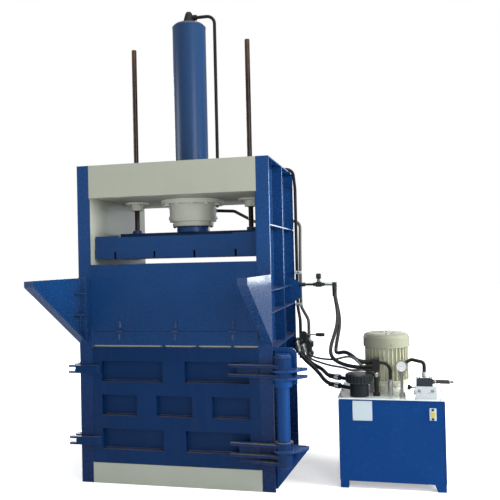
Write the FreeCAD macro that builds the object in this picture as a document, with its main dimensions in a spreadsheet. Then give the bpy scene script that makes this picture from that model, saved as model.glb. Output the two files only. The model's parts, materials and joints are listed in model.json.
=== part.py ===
import FreeCAD, Part
import math
import os
import re

import Sketcher

# Vertical baling press with its hydraulic power pack, in millimetres.
# X runs across the press, Y from its front to its back, and Z up from the floor.
# The origin is on the floor, under the axis of the press cylinder.

Vector = FreeCAD.Vector

# ---------------------------------------------------------------- sizes
SIZES = {
    # tower
    "tower_width": 1400,
    "tower_depth": 1040,
    "tower_height": 2250,
    "post_width": 89,
    "flange_thickness": 12,
    "web_thickness": 8,
    "stiffener_thickness": 8,
    "liner_thickness": 6,
    "stiffener_top_level": 1790,
    "stiffener_upper_level": 1345,
    "stiffener_lower_level": 1196,
    "stiffener_door_level": 946,
    "wall_depth": 60,
    # base and bale chamber
    "base_height": 143,
    "floor_thickness": 12,
    "base_plate": 12,
    "sill_width": 60,
    "sill_offset": 420,
    "rear_wall_thickness": 8,
    "rear_wall_top": 1541,
    "rear_rib_height": 70,
    "rear_rib_pitch": 280,
    "rear_rib_count": 5,
    # head beam
    "head_height": 233,
    "head_lower_plate": 25,
    "head_upper_plate": 12,
    "head_web_offset": 176,
    "rod_hole_radius": 25,
    "barrel_gap": 2,
    # crossbeam and its stops
    "beam_bottom": 972,
    "beam_height": 95,
    "beam_wall": 6,
    "stop_width": 16,
    "stop_height": 14,
    # main door
    "door_gap": 3,
    "door_top": 955,
    "door_rib": 92,
    "recess_height": 146,
    "recess_depth": 45,
    "door_border": 65,
    "door_post": 160,
    "brick_post": 143,
    "brick_recess": 262,
    # door hinge
    "hinge_offset": 65,
    "shaft_radius": 42,
    "shaft_bottom": 165,
    "shaft_top": 907,
    "shaft_cap_radius": 52,
    "shaft_cap_height": 12,
    "hub_radius": 60,
    "hub_fit": 0.06,
    "hub_gap": 0.4,
    "arm_plate": 16,
    "arm_depth": 45,
    "arm_clearance": 4,
    "arm_length": 302,
    "arm_tip_depth": 30,
    "strap_plate": 8,
    "upper_strap_low": 769,
    "upper_strap_high": 834,
    "lower_strap_low": 238,
    "lower_strap_high": 310,
    "claw_level": 196,
    "lower_hub_bottom": 180,
    "lower_hub_top": 341,
    "upper_hub_top": 904,
    "lug_plate": 12,
    "lower_lug_level": 278,
    "upper_lug_level": 756,
    "third_lug_level": 805,
    "lug_boss_bottom": 707,
    "lug_reach": 155,
    "lug_ear_radius": 26,
    "lug_ear_offset": 75,
    "gusset_setback": 76,
    "gusset_plate": 12,
    "upper_gusset_width": 150,
    "upper_gusset_top": 954,
    "upper_gusset_round": 50,
    # door lock
    "upper_lock_level": 804,
    "lower_lock_level": 300,
    "clevis_reach": 76,
    "clevis_width": 80,
    "clevis_plate": 12,
    "clevis_gap": 31,
    "clevis_setback": 40,
    "lock_pin_radius": 10,
    "lock_pin_fit": 0.05,
    "lock_pin_head": 16,
    "lock_pin_head_height": 6,
    "eye_radius": 22,
    "eye_height": 30,
    "bolt_radius": 12,
    "bolt_length": 146,
    "nut_radius": 23,
    "nut_height": 24,
    "nut_distance": 118,
    "lock_lug_plate": 24,
    "lock_lug_height": 56,
    "lock_slot": 29,
    "lock_lug_length": 62,
    "lock_lug_clearance": 6,
    # feed flap and its hinges
    "flap_gap": 3,
    "flap_top": 1541,
    "flap_depth": 30,
    "flap_skin": 6,
    "flap_rim": 40,
    "flap_rib": 30,
    "flap_hinge_pitch": 410,
    "flap_hinge_shift": 20,
    "knuckle_radius": 9,
    "knuckle_standoff": 1,
    "flap_pin_radius": 5,
    "flap_pin_fit": 0.05,
    "knuckle_length": 12,
    "knuckle_gap": 0.5,
    "leaf_thickness": 5,
    "flap_leaf_height": 82,
    "beam_leaf_height": 56,
    # feed wings
    "wing_plate": 8,
    "wing_reach": 700,
    "wing_top": 1450,
    "wing_tip_height": 37,
    "wing_root_bottom": 985,
    "wing_flange": 60,
    "wing_root_plate": 8,
    # press cylinder
    "barrel_radius": 128,
    "bore_radius": 100,
    "barrel_top": 3375,
    "barrel_end": 45,
    "barrel_chamfer": 16,
    "port_radius": 45,
    "port_neck_radius": 26,
    "port_height": 104,
    "flange_radius": 243,
    "cylinder_flange": 30,
    "housing_radius": 180,
    "housing_lip": 8,
    "housing_lip_height": 18,
    "housing_drop": 162,
    "boss_radius": 21,
    "boss_reach": 22,
    "boss_drop": 72,
    "housing_seat": 72,
    "housing_fit": 0.3,
    "rod_guide": 45,
    "gland_radius": 157,
    "gland_height": 38,
    "gland_clearance": 1,
    "flange_bolt_circle": 215,
    "flange_bolt_count": 12,
    "flange_bolt_size": 17,
    "flange_bolt_head": 16,
    "gland_bolt_circle": 141,
    "gland_bolt_count": 10,
    "gland_bolt_size": 10,
    "gland_bolt_head": 9,
    # ram and platen
    "rod_radius": 70,
    "running_fit": 0.06,
    "piston_height": 110,
    "piston_top_gap": 20,
    "piston_nose_radius": 60,
    "piston_nose_height": 10,
    "collar_radius": 126,
    "collar_height": 40,
    "ram_clearance": 42,
    "platen_height": 155,
    "platen_side_gap": 10,
    "platen_wall": 12,
    "platen_floor": 20,
    "platen_lip": 4,
    "platen_lip_height": 70,
    "groove_width": 16,
    "groove_height": 50,
    "groove_inner": 148,
    "groove_outer": 445,
    "groove_wall": 10,
    "beam_half_width": 90,
    "beam_web": 20,
    "beam_top_plate": 25,
    "platen_beam_rise": 40,
    "platen_beam_length": 1120,
    "platen_step_length": 170,
    "platen_step_height": 9,
    # guide rods
    "guide_radius": 19,
    "guide_offset": 458,
    "guide_top": 3225,
    "bush_flange_radius": 95,
    "bush_flange": 14,
    "bush_radius": 47,
    "bush_length": 62,
    "bush_fit": 0.05,
    "rod_collar_radius": 36,
    "rod_collar_height": 25,
    "collar_fit": 0.2,
    # hydraulic lines on the tower
    "line_radius": 12.5,
    "line_bend": 62,
    "line_top_clearance": 26,
    "line_bow": 40,
    "line_crossing_drop": 79,
    "line_upper_drop": 120,
    "line_middle_drop": 245,
    "line_bend_rise": 110,
    "line_entry_rise": 210,
    "line_entry_shift": 32,
    "line_edge_gap": 16,
    "line_side_gap": 21,
    "line_pitch": 28,
    "valve_bracket_low": 800,
    "valve_bracket_high": 930,
    "valve_face_gap": 22,
    "valve_width": 122,
    "valve_depth": 92,
    "valve_low": 764,
    "valve_high": 950,
    "valve_setback": 92,
    "lever_radius": 6,
    "lever_length": 96,
    "lever_knob_radius": 13,
    "valve_top_drop": 32,
    "lever_drop": 5,
    "lever_dome_radius": 30,
    "lever_knob_length": 66,
    "lever_pin_radius": 7,
    "gusset_low": 1200,
    "gusset_high": 1400,
    "gusset_reach": 70,
    "gauge_line_level": 1345,
    "needle_valve_reach": 212,
    "tee_reach": 335,
    "bonnet_radius": 11,
    "bonnet_height": 24,
    "knob_radius": 20,
    "knob_height": 40,
    # power pack
    "tank_left": 1115,
    "tank_width": 690,
    "tank_front": -350,
    "tank_depth": 560,
    "tank_bottom": 48,
    "tank_top": 597,
    "tank_wall": 5,
    "foot_width": 55,
    "foot_taper": 20,
    "lid_thickness": 8,
    "lid_overhang": 7,
    "motor_x": 1435,
    "motor_y": -70,
    "bell_height": 70,
    "bell_radius": 128,
    "bell_flange": 142,
    "bell_flange_height": 14,
    "motor_core_radius": 134,
    "motor_fin_radius": 150,
    "motor_fin_count": 32,
    "motor_fin_width": 6,
    "motor_height": 258,
    "motor_shield": 22,
    "cowl_radius": 159,
    "cowl_height": 93,
    "cowl_wall": 3,
    "cowl_round": 26,
    "cowl_slot_count": 12,
    "cowl_slot_width": 9,
    "cowl_slot_inner": 36,
    "cowl_slot_outer": 112,
    "filter_x": 1251,
    "filter_y": -270,
    "filter_radius": 64,
    "filter_height": 92,
    "filter_cap_radius": 91,
    "filter_cap_height": 60,
    "filter_cap_round": 6,
    "filter_port_reach": 230,
    "filter_lobe_count": 24,
    "filter_lobe_radius": 5,
    "manifold_x": 1366,
    "manifold_y": -255,
    "manifold_width": 48,
    "manifold_depth": 78,
    "manifold_low": 776,
    "manifold_high": 858,
    "riser_radius": 15,
    "gauge_x": 1536,
    "gauge_y": -262,
    "gauge_z": 809,
    "gauge_radius": 39,
    "gauge_depth": 30,
    "gauge_bezel": 4,
    "gauge_dial_recess": 5,
    "stem_radius": 9,
    "needle_length": 27,
    "needle_width": 3,
    "needle_thickness": 1,
    "needle_hub_radius": 4,
    "needle_bore_radius": 1.5,
    "needle_fit": 0.05,
    "block_x": 1690,
    "block_y": -285,
    "block_width": 139,
    "block_depth": 120,
    "block_height": 85,
    "solenoid_width": 104,
    "solenoid_depth": 80,
    "solenoid_height": 52,
    "solenoid_shift": -8,
}

# Sizes that follow from the ones above, as formulas of them.
FOLLOWS = {
    "half_width": "tower_width / 2",
    "front": "-tower_depth / 2",
    "back": "tower_depth / 2",
    "web_inner": "half_width - post_width",
    "wall_inner": "web_inner - liner_thickness",
    "inner_front": "front + wall_depth",
    "inner_back": "back - wall_depth",
    "hinge_x": "half_width + hinge_offset",
    "beam_top": "beam_bottom + beam_height",
    "door_bottom": "base_height + door_gap",
    "door_height": "door_top - door_bottom",
    "door_half": "wall_inner - door_gap",
    "door_foot": "(door_height - 3 * recess_height - 2 * door_rib) / 2",
    "flap_bottom": "beam_top + flap_gap",
    "flap_axis_y": "front - knuckle_radius - knuckle_standoff",
    "flap_axis_z": "beam_top + flap_gap / 2",
    "flap_half": "wall_inner - flap_gap",
    "piston_top": "barrel_top - barrel_end - piston_top_gap",
    "platen_half": "wall_inner - platen_side_gap",
    "platen_depth_half": "tower_depth / 2 - wall_depth - platen_side_gap",
    "lid_bottom": "tank_top",
    "lid_top": "tank_top + lid_thickness",
    "clevis_x": "-half_width - clevis_reach / 2",
    "clevis_y": "front + 2 * clevis_setback",
    "bell_top": "lid_top + bell_height",
    "cowl_bottom": "bell_top + motor_height - motor_shield / 2",
    "valve_left": "half_width + valve_face_gap",
    "valve_back": "back - valve_setback",
    "valve_front": "valve_back - valve_depth",
    "valve_mid": "valve_back - valve_depth / 2",
    "line_x": "half_width + line_side_gap",
    "valve_top": "valve_high - valve_top_drop",
    "lever_level": "valve_high - lever_drop",
    "line_top_run": "tower_height + line_top_clearance",
    "head_bottom": "tower_height - head_height",
    "housing_bottom": "head_bottom - housing_drop",
    "boss_level": "head_bottom - boss_drop",
    "gland_bottom": "housing_bottom - gland_height",
    "platen_beam_top": "gland_bottom - ram_clearance",
    "platen_top": "platen_beam_top - platen_beam_rise",
    "platen_bottom": "platen_top - platen_height",
}

os.makedirs("parts", exist_ok=True)
doc = FreeCAD.newDocument("BalingPress")
sheet = doc.addObject("Spreadsheet::Sheet", "Sizes")
for row, (alias, value) in enumerate(SIZES.items(), start=1):
    sheet.set(f"A{row}", alias)
    sheet.set(f"B{row}", str(value))
    sheet.setAlias(f"B{row}", alias)
doc.recompute()

parts = {}


# ---------------------------------------------------------------- helpers
def spelled(formula):
    """Write a formula of size names as an expression on the sheet."""
    def word(match):
        name = match.group(0)
        if name in FOLLOWS:
            return f"({spelled(FOLLOWS[name])})"
        return f"Sizes.{name}" if name in SIZES else name
    return re.sub(r"[a-z]+(?:_[a-z]+)*", word, str(formula))


def size(formula):
    """The present value of a formula of size names."""
    return float(sheet.evalExpression(spelled(formula)))


def bind(item, **formulas):
    for name, formula in formulas.items():
        item.setExpression(name, spelled(formula))
    return item


def place(item, x="0", y="0", z="0"):
    for axis, formula in zip("xyz", (x, y, z)):
        item.setExpression(f"Placement.Base.{axis}", spelled(formula))
    return item


def keep(node, item):
    """Give an object its name as a sub-part."""
    item.Label = node
    parts[node] = item
    return item


def box(name, x, y, z):
    """A block between pairs of formulas along X, Y and Z."""
    item = doc.addObject("Part::Box", name)
    bind(item, Length=f"({x[1]}) - ({x[0]})", Width=f"({y[1]}) - ({y[0]})",
         Height=f"({z[1]}) - ({z[0]})")
    return place(item, x[0], y[0], z[0])


def side_box(name, side, x, y, z):
    """A block given for the right side, and mirrored in X for side -1."""
    if side < 0:
        x = (f"-({x[1]})", f"-({x[0]})")
    return box(name, x, y, z)


AXES = {
    "x": FreeCAD.Rotation(Vector(0, 1, 0), 90),
    "y": FreeCAD.Rotation(Vector(1, 0, 0), -90),
    "z": FreeCAD.Rotation(),
}


def rod(name, radius, length, x="0", y="0", z="0", axis="z"):
    """A cylinder that starts at a point and runs along an axis."""
    item = doc.addObject("Part::Cylinder", name)
    bind(item, Radius=radius, Height=length)
    item.Placement = FreeCAD.Placement(Vector(), AXES[axis])
    return place(item, x, y, z)


def slanted_rod(name, radius, length, start, direction):
    """A cylinder that runs from a point of formulas in any direction."""
    item = doc.addObject("Part::Cylinder", name)
    bind(item, Radius=radius, Height=length)
    item.Placement = FreeCAD.Placement(Vector(), FreeCAD.Rotation(Vector(0, 0, 1), direction))
    return place(item, *start)


def spoke(name, centre, angle, reach, width, z):
    """A radial block at an angle about a vertical axis, from one radius to another."""
    item = doc.addObject("Part::Box", name)
    bind(item, Length=f"({reach[1]}) - ({reach[0]})", Width=width, Height=f"({z[1]}) - ({z[0]})")
    item.Placement = FreeCAD.Placement(Vector(), FreeCAD.Rotation(Vector(0, 0, 1), angle))
    x = f"{centre[0]} + ({reach[0]}) * cos({angle}) + {width} / 2 * sin({angle})"
    y = f"{centre[1]} + ({reach[0]}) * sin({angle}) - {width} / 2 * cos({angle})"
    return place(item, x, y, z[0])


def fuse(name, items):
    joined = doc.addObject("Part::MultiFuse", name)
    joined.Shapes = items
    return joined


def cut(name, base, tools):
    result = doc.addObject("Part::Cut", name)
    result.Base = base
    result.Tool = tools[0] if len(tools) == 1 else fuse(f"{name}_tools", tools)
    return result


def group(name, items):
    """Separate solids that share one node."""
    together = doc.addObject("Part::Compound", name)
    together.Links = items
    return together


def plane_of(body, role):
    return next(item for item in body.Origin.OriginFeatures if item.Role == role)


def outline(body, role, corners, name):
    """A closed sketch of straight edges whose corners are formulas."""
    sketch = body.newObject("Sketcher::SketchObject", name)
    sketch.AttachmentSupport = (plane_of(body, role), [""])
    sketch.MapMode = "FlatFace"
    spots = [Vector(size(u), size(v), 0) for u, v in corners]
    count = len(corners)
    for index in range(count):
        sketch.addGeometry(Part.LineSegment(spots[index], spots[(index + 1) % count]), False)
    for index in range(count):
        sketch.addConstraint(Sketcher.Constraint("Coincident", index, 2, (index + 1) % count, 1))
    for index, (u, v) in enumerate(corners):
        for kind, formula, here in (("DistanceX", u, spots[index].x), ("DistanceY", v, spots[index].y)):
            row = sketch.addConstraint(Sketcher.Constraint(kind, -1, 1, index, 1, here))
            sketch.setExpression(f"Constraints[{row}]", spelled(formula))
    return sketch


def padded(name, role, corners, length, reverse=False):
    """A plate: an outline on an origin plane, given its thickness."""
    body = doc.addObject("PartDesign::Body", name)
    pad = body.newObject("PartDesign::Pad", f"{name}_pad")
    pad.Profile = outline(body, role, corners, f"{name}_outline")
    bind(pad, Length=length)
    pad.Reversed = reverse
    body.Tip = pad
    return body


def pocketed(body, role, corners, depth, name, reverse=False):
    """Cut an outline into a body, from an origin plane moved by the sketch's own offset."""
    pocket = body.newObject("PartDesign::Pocket", name)
    pocket.Profile = outline(body, role, corners, f"{name}_outline")
    bind(pocket, Length=depth)
    pocket.Reversed = reverse
    body.Tip = pocket
    return body


def turned(name, profile, x="0", y="0", z="0"):
    """A turned piece: a profile of radius and height, revolved about a vertical axis."""
    body = doc.addObject("PartDesign::Body", name)
    sketch = outline(body, "XZ_Plane", profile, f"{name}_profile")
    spin = body.newObject("PartDesign::Revolution", f"{name}_turn")
    spin.Profile = sketch
    spin.ReferenceAxis = (sketch, ["V_Axis"])
    spin.Angle = 360
    body.Tip = spin
    return place(body, x, y, z)


def rounded(body, name, radius, pick):
    """Round the edges of a body that pick chooses."""
    doc.recompute()
    last = body.Tip
    edges = [f"Edge{number}" for number, edge in enumerate(last.Shape.Edges, start=1) if pick(edge)]
    fillet = body.newObject("PartDesign::Fillet", name)
    fillet.Base = (last, edges)
    bind(fillet, Radius=radius)
    body.Tip = fillet
    return body


def stands_at(x, y):
    """Chooses the vertical edge that stands nearest to a point of the plan."""
    def pick(edge):
        first, last = edge.Vertexes[0].Point, edge.Vertexes[-1].Point
        upright = abs(first.x - last.x) < 0.01 and abs(first.y - last.y) < 0.01
        return upright and math.hypot(first.x - size(x), first.y - size(y)) < 0.5
    return pick


def hex_head(name, radius, height, x, y, z):
    """A hexagonal head or nut, whose radius is that of its corners."""
    item = doc.addObject("Part::Prism", name)
    item.Polygon = 6
    bind(item, Circumradius=radius, Height=height)
    return place(item, x, y, z)


def bent_path(points, bend=None):
    """Straight runs joined by tangent arcs: a path's edges, and the arcs' radii.

    Without a bend radius each arc is as large as its two runs allow.
    """
    edges, radii = [], []
    here = points[0]
    for index in range(1, len(points) - 1):
        before, corner, after = points[index - 1], points[index], points[index + 1]
        way_in = (corner - before).normalize()
        way_out = (after - corner).normalize()
        turn = way_in.getAngle(way_out)
        shorter = min((corner - before).Length, (after - corner).Length)
        radius = bend or 0.45 * shorter / math.tan(turn / 2)
        reach = radius * math.tan(turn / 2)
        start = corner - way_in * reach
        end = corner + way_out * reach
        centre = corner + (way_out - way_in).normalize() * (radius / math.cos(turn / 2))
        middle = centre + (corner - centre).normalize() * radius
        edges.append(Part.LineSegment(here, start).toShape())
        edges.append(Part.Arc(start, middle, end).toShape())
        radii.append(radius)
        here = end
    edges.append(Part.LineSegment(here, points[-1]).toShape())
    return edges, radii


def tube(node, points, radius, bend=None):
    """A hose or a pipe of round section along a path of points."""
    corners = [Vector(*point) for point in points]
    edges, radii = bent_path(corners, bend)
    path = Part.Wire(edges)
    ring = Part.Wire(Part.Circle(corners[0], (corners[1] - corners[0]).normalize(), radius).toShape())
    solid = path.makePipeShell([ring], True, False)
    expected = math.pi * radius ** 2 * path.Length
    print(f"{node}: length {path.Length:.0f}, least bend {min(radii):.0f}"
          f" ({min(radii) / radius / 2:.1f} diameters), volume ratio {solid.Volume / expected:.4f}")
    item = doc.addObject("Part::Feature", node)
    item.Shape = solid
    item.Placement = FreeCAD.Placement()
    return keep(node, item)


# ---------------------------------------------------------------- tower frame
def base_frame():
    """Front and rear boards on edge, tied by three sills from front to back."""
    sill_top = "base_height - floor_thickness"
    pieces = [
        box("base_front_board", ("-web_inner", "web_inner"), ("front", "front + base_plate"),
            ("0", sill_top)),
        box("base_rear_board", ("-web_inner", "web_inner"), ("back - base_plate", "back"),
            ("0", sill_top)),
    ]
    for index, centre in enumerate(("-sill_offset", "0", "sill_offset")):
        pieces.append(box(f"base_sill_{index}", (f"{centre} - sill_width / 2", f"{centre} + sill_width / 2"),
                          ("front + base_plate", "back - base_plate"), ("0", sill_top)))
    keep("base_frame", fuse("base_frame", pieces))


def chamber_floor():
    """Floor plate with the four strapping slots that line up with the platen's grooves."""
    body = padded("chamber_floor", "XY_Plane",
                  [("-web_inner", "front"), ("web_inner", "front"), ("web_inner", "back"),
                   ("-web_inner", "back")], "floor_thickness")
    plate = place(body, z="base_height - floor_thickness")
    slots = []
    for index, centre in enumerate(("-groove_outer", "-groove_inner", "groove_inner", "groove_outer")):
        slots.append(box(f"floor_slot_{index}",
                         (f"{centre} - groove_width / 2", f"{centre} + groove_width / 2"),
                         ("inner_front", "inner_back"),
                         ("base_height - floor_thickness / 2", "base_height + 1")))
    keep("chamber_floor", cut("chamber_floor_slotted", plate, slots))


def side_frame(name, side):
    """Web, front and rear flanges, middle rib and cross stiffeners of one side."""
    pieces = [
        side_box(f"{name}_web", side, ("web_inner", "web_inner + web_thickness"),
                 ("front", "back"), ("0", "tower_height")),
        side_box(f"{name}_front_flange", side, ("web_inner", "half_width"),
                 ("front", "front + flange_thickness"), ("0", "tower_height")),
        side_box(f"{name}_rear_flange", side, ("web_inner", "half_width"),
                 ("back - flange_thickness", "back"), ("0", "tower_height")),
        side_box(f"{name}_middle_rib", side, ("web_inner", "half_width"),
                 ("-flange_thickness / 2", "flange_thickness / 2"), ("0", "tower_height")),
    ]
    levels = ("stiffener_door_level", "stiffener_lower_level", "stiffener_upper_level",
              "stiffener_top_level", "tower_height")
    for index, level in enumerate(levels):
        pieces.append(side_box(f"{name}_stiffener_{index}", side, ("web_inner", "half_width"),
                               ("front", "back"), (f"{level} - stiffener_thickness", level)))
    return pieces


def side_frames():
    keep("left_side_frame", fuse("left_side_frame", side_frame("left_side", -1)))
    right = side_frame("right_side", 1)
    right.append(padded("line_gusset", "XZ_Plane",
                        [("half_width - flange_thickness", "gusset_low"),
                         ("half_width", "gusset_low"),
                         ("half_width + gusset_reach", "gusset_low + 45"),
                         ("half_width + gusset_reach", "gusset_high - 40"),
                         ("half_width", "gusset_high"),
                         ("half_width - flange_thickness", "gusset_high")],
                        "gusset_plate"))
    place(right[-1], y="valve_mid + gusset_plate / 2")
    right.append(box("valve_bracket", ("web_inner", "valve_left"),
                     ("valve_mid - gusset_plate / 2", "valve_mid + gusset_plate / 2"),
                     ("valve_bracket_low", "valve_bracket_high")))
    right.append(box("line_gusset_root", ("web_inner", "half_width"),
                     ("valve_mid - gusset_plate / 2", "valve_mid + gusset_plate / 2"),
                     ("gusset_low", "gusset_high")))
    keep("right_side_frame", fuse("right_side_frame", right))


def liners():
    for name, side in (("left_liner", -1), ("right_liner", 1)):
        keep(name, side_box(name, side, ("wall_inner", "web_inner"), ("front", "back"),
                            ("base_height", "head_bottom")))
    keep("rear_wall", box("rear_wall", ("-wall_inner", "wall_inner"),
                          ("inner_back", "inner_back + rear_wall_thickness"),
                          ("base_height", "rear_wall_top")))


def rear_ribs():
    """Box ribs across the back of the rear wall, tied by two uprights."""
    near, far = "inner_back + rear_wall_thickness", "back"
    pieces = []
    for index in range(int(SIZES["rear_rib_count"])):
        low = f"base_height + {index} * rear_rib_pitch"
        pieces.append(box(f"rear_rib_{index}", ("-wall_inner", "wall_inner"), (near, far),
                          (low, f"{low} + rear_rib_height")))
    pieces.append(box("rear_rib_rim", ("-wall_inner", "wall_inner"), (near, far),
                      ("rear_wall_top - rear_rib_height", "rear_wall_top")))
    for index, centre in enumerate(("-groove_inner * 2", "groove_inner * 2")):
        pieces.append(box(f"rear_upright_{index}",
                          (f"{centre} - rear_rib_height / 2", f"{centre} + rear_rib_height / 2"),
                          (near, far), ("base_height", "rear_wall_top")))
    keep("rear_ribs", fuse("rear_ribs", pieces))


def head_beam():
    """Welded box beam that carries the cylinder, with holes for it and for the guide rods."""
    across = ("-web_inner", "web_inner")
    pieces = [
        box("head_front", across, ("front", "front + flange_thickness"), ("head_bottom", "tower_height")),
        box("head_rear", across, ("back - flange_thickness", "back"), ("head_bottom", "tower_height")),
        box("head_lower", across, ("front", "back"), ("head_bottom", "head_bottom + head_lower_plate")),
        box("head_upper", across, ("front", "back"), ("tower_height - head_upper_plate", "tower_height")),
    ]
    for index, centre in enumerate(("-head_web_offset", "head_web_offset")):
        pieces.append(box(f"head_web_{index}", across,
                          (f"{centre} - flange_thickness / 2", f"{centre} + flange_thickness / 2"),
                          ("head_bottom", "tower_height")))
    through = "tower_height - head_bottom + 2"
    holes = [rod("head_bore", "barrel_radius + barrel_gap", through, z="head_bottom - 1")]
    for index, centre in enumerate(("-guide_offset", "guide_offset")):
        holes.append(rod(f"head_rod_hole_{index}", "rod_hole_radius", through, x=centre, z="head_bottom - 1"))
    keep("head_beam", cut("head_beam", fuse("head_welded", pieces), holes))


def hinge_places():
    """Middle of each flap hinge along X."""
    return [f"flap_hinge_shift + {step} * flap_hinge_pitch" for step in (-1, 0, 1)]


def front_crossbeam():
    """Hollow beam over the door, with the fixed halves of the flap hinges and three door stops."""
    shell = box("beam_shell", ("-wall_inner", "wall_inner"), ("front", "inner_front"),
                ("beam_bottom", "beam_top"))
    hollow = box("beam_hollow", ("-wall_inner - 1", "wall_inner + 1"),
                 ("front + beam_wall", "inner_front - beam_wall"),
                 ("beam_bottom + beam_wall", "beam_top - beam_wall"))
    pieces = [cut("beam_tube", shell, [hollow])]
    for index, centre in enumerate(hinge_places()):
        reach = "1.5 * knuckle_length + knuckle_gap"
        ends = ((f"{centre} - ({reach})", f"{centre} - knuckle_length / 2 - knuckle_gap"),
                (f"{centre} + knuckle_length / 2 + knuckle_gap", f"{centre} + {reach}"))
        for half, (low, high) in enumerate(ends):
            pieces.append(rod(f"beam_knuckle_{index}_{half}", "knuckle_radius", f"({high}) - ({low})",
                              x=low, y="flap_axis_y", z="flap_axis_z", axis="x"))
            pieces.append(box(f"beam_knuckle_root_{index}_{half}", (low, high),
                              ("flap_axis_y", "front"),
                              ("flap_axis_z - knuckle_radius", "beam_top - knuckle_gap")))
        pieces.append(box(f"beam_leaf_{index}", (f"{centre} - ({reach})", f"{centre} + {reach}"),
                          ("front - leaf_thickness", "front"),
                          ("beam_top - beam_leaf_height", "flap_axis_z - knuckle_radius - knuckle_gap")))
    for index, centre in enumerate(("-groove_inner / 2", "groove_inner + 24", "groove_outer - 24")):
        pieces.append(box(f"door_stop_{index}", (f"{centre} - stop_width / 2", f"{centre} + stop_width / 2"),
                          ("front", "inner_front"), ("beam_bottom - stop_height", "beam_bottom")))
    bores = [rod("beam_pin_bore", "flap_pin_radius + flap_pin_fit", "2 * wall_inner",
                 x="-wall_inner", y="flap_axis_y", z="flap_axis_z", axis="x")]
    keep("front_crossbeam", cut("front_crossbeam", fuse("beam_welded", pieces), bores))


def wings():
    """Cheek plates of the feed chute, with a flange along the lower edge and a root plate."""
    slope = "(wing_top - wing_tip_height - wing_root_bottom) / wing_reach"
    tip = "front - wing_reach"
    rise = f"wing_plate * (1 + ({slope}))"
    cheek = [("front", "wing_root_bottom"), ("front", "wing_top"), (tip, "wing_top"),
             (tip, "wing_top - wing_tip_height")]
    edge = [("front", "wing_root_bottom"), ("front", f"wing_root_bottom + {rise}"),
            (f"{tip} + wing_plate", f"wing_top - wing_tip_height + {rise} - wing_plate * ({slope})"),
            (f"{tip} + wing_plate", "wing_top"), (tip, "wing_top"), (tip, "wing_top - wing_tip_height")]
    for name, side in (("left_wing", -1), ("right_wing", 1)):
        outer = "half_width - wing_plate" if side > 0 else "-half_width"
        inner = "half_width - wing_flange" if side > 0 else "-half_width"
        pieces = [
            place(padded(f"{name}_cheek", "YZ_Plane", cheek, "wing_plate"), x=outer),
            place(padded(f"{name}_flange", "YZ_Plane", edge, "wing_flange"), x=inner),
            side_box(f"{name}_root", side, ("half_width - wing_flange", "half_width"),
                     ("front - wing_root_plate", "front"), ("wing_root_bottom + 20", "wing_top")),
        ]
        for index, level in enumerate(("stiffener_lower_level", "stiffener_upper_level")):
            pieces.append(side_box(f"{name}_cleat_{index}", side,
                                   ("half_width - wing_flange", "half_width"),
                                   ("front - 3 * wing_flange / 2", "front"),
                                   (f"{level} - wing_plate", level)))
        keep(name, fuse(name, pieces))


# ---------------------------------------------------------------- feed flap
def feed_flap():
    """Skin on a ribbed rim, with the moving halves of its three hinges."""
    skin = box("flap_skin_sheet", ("-flap_half", "flap_half"), ("front", "front + flap_depth"),
               ("flap_bottom", "flap_top"))
    bay = "(2 * flap_half - 2 * flap_rim - 2 * flap_rib) / 3"
    hollows = []
    for index in range(3):
        low = f"-flap_half + flap_rim + {index} * ({bay} + flap_rib)"
        hollows.append(box(f"flap_bay_{index}", (low, f"{low} + {bay}"),
                           ("front + flap_skin", "front + flap_depth + 1"),
                           ("flap_bottom + flap_rim", "flap_top - flap_rim")))
    pieces = [cut("flap_tray", skin, hollows)]
    for index, centre in enumerate(hinge_places()):
        span = (f"{centre} - knuckle_length / 2", f"{centre} + knuckle_length / 2")
        wide = (f"{centre} - 1.5 * knuckle_length", f"{centre} + 1.5 * knuckle_length")
        pieces.append(rod(f"flap_knuckle_{index}", "knuckle_radius", "knuckle_length",
                          x=span[0], y="flap_axis_y", z="flap_axis_z", axis="x"))
        pieces.append(box(f"flap_knuckle_root_{index}", span,
                          ("flap_axis_y", "front"), ("flap_bottom", "flap_axis_z + knuckle_radius + 2")))
        pieces.append(box(f"flap_leaf_{index}", wide, ("front - leaf_thickness", "front"),
                          ("flap_axis_z + knuckle_radius + knuckle_gap", "flap_bottom + flap_leaf_height")))
    bore = rod("flap_pin_bore", "flap_pin_radius + flap_pin_fit", "2 * wall_inner",
               x="-wall_inner", y="flap_axis_y", z="flap_axis_z", axis="x")
    keep("feed_flap", cut("feed_flap", fuse("flap_welded", pieces), [bore]))


def flap_hinge_pins():
    pins = []
    for index, centre in enumerate(hinge_places()):
        pins.append(rod(f"flap_pin_{index}", "flap_pin_radius", "3 * knuckle_length + 6",
                        x=f"{centre} - 1.5 * knuckle_length - 3", y="flap_axis_y", z="flap_axis_z", axis="x"))
    keep("flap_hinge_pins", group("flap_hinge_pins", pins))


# ---------------------------------------------------------------- main door
def main_door():
    """Ribbed door: recesses in a brick pattern, sunk from the front into one thick leaf."""
    body = padded("main_door", "XZ_Plane",
                  [("-door_half", "door_bottom"), ("door_half", "door_bottom"),
                   ("door_half", "door_top"), ("-door_half", "door_top")], "wall_depth", reverse=True)
    place(body, y="front")
    wide = "door_half - door_border"
    plain_row = [(f"-({wide})", "-door_post / 2"), ("door_post / 2", wide)]
    brick_row = [("-brick_recess / 2", "brick_recess / 2"),
                 ("brick_recess / 2 + brick_post", wide),
                 (f"-({wide})", "-brick_recess / 2 - brick_post")]
    for row, recesses in enumerate((plain_row, brick_row, plain_row)):
        low = f"door_bottom + door_foot + {row} * (recess_height + door_rib)"
        high = f"{low} + recess_height"
        for column, (left, right) in enumerate(recesses):
            pocketed(body, "XZ_Plane", [(left, low), (right, low), (right, high), (left, high)],
                     "recess_depth", f"recess_{row}_{column}")
    keep("main_door", body)


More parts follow.
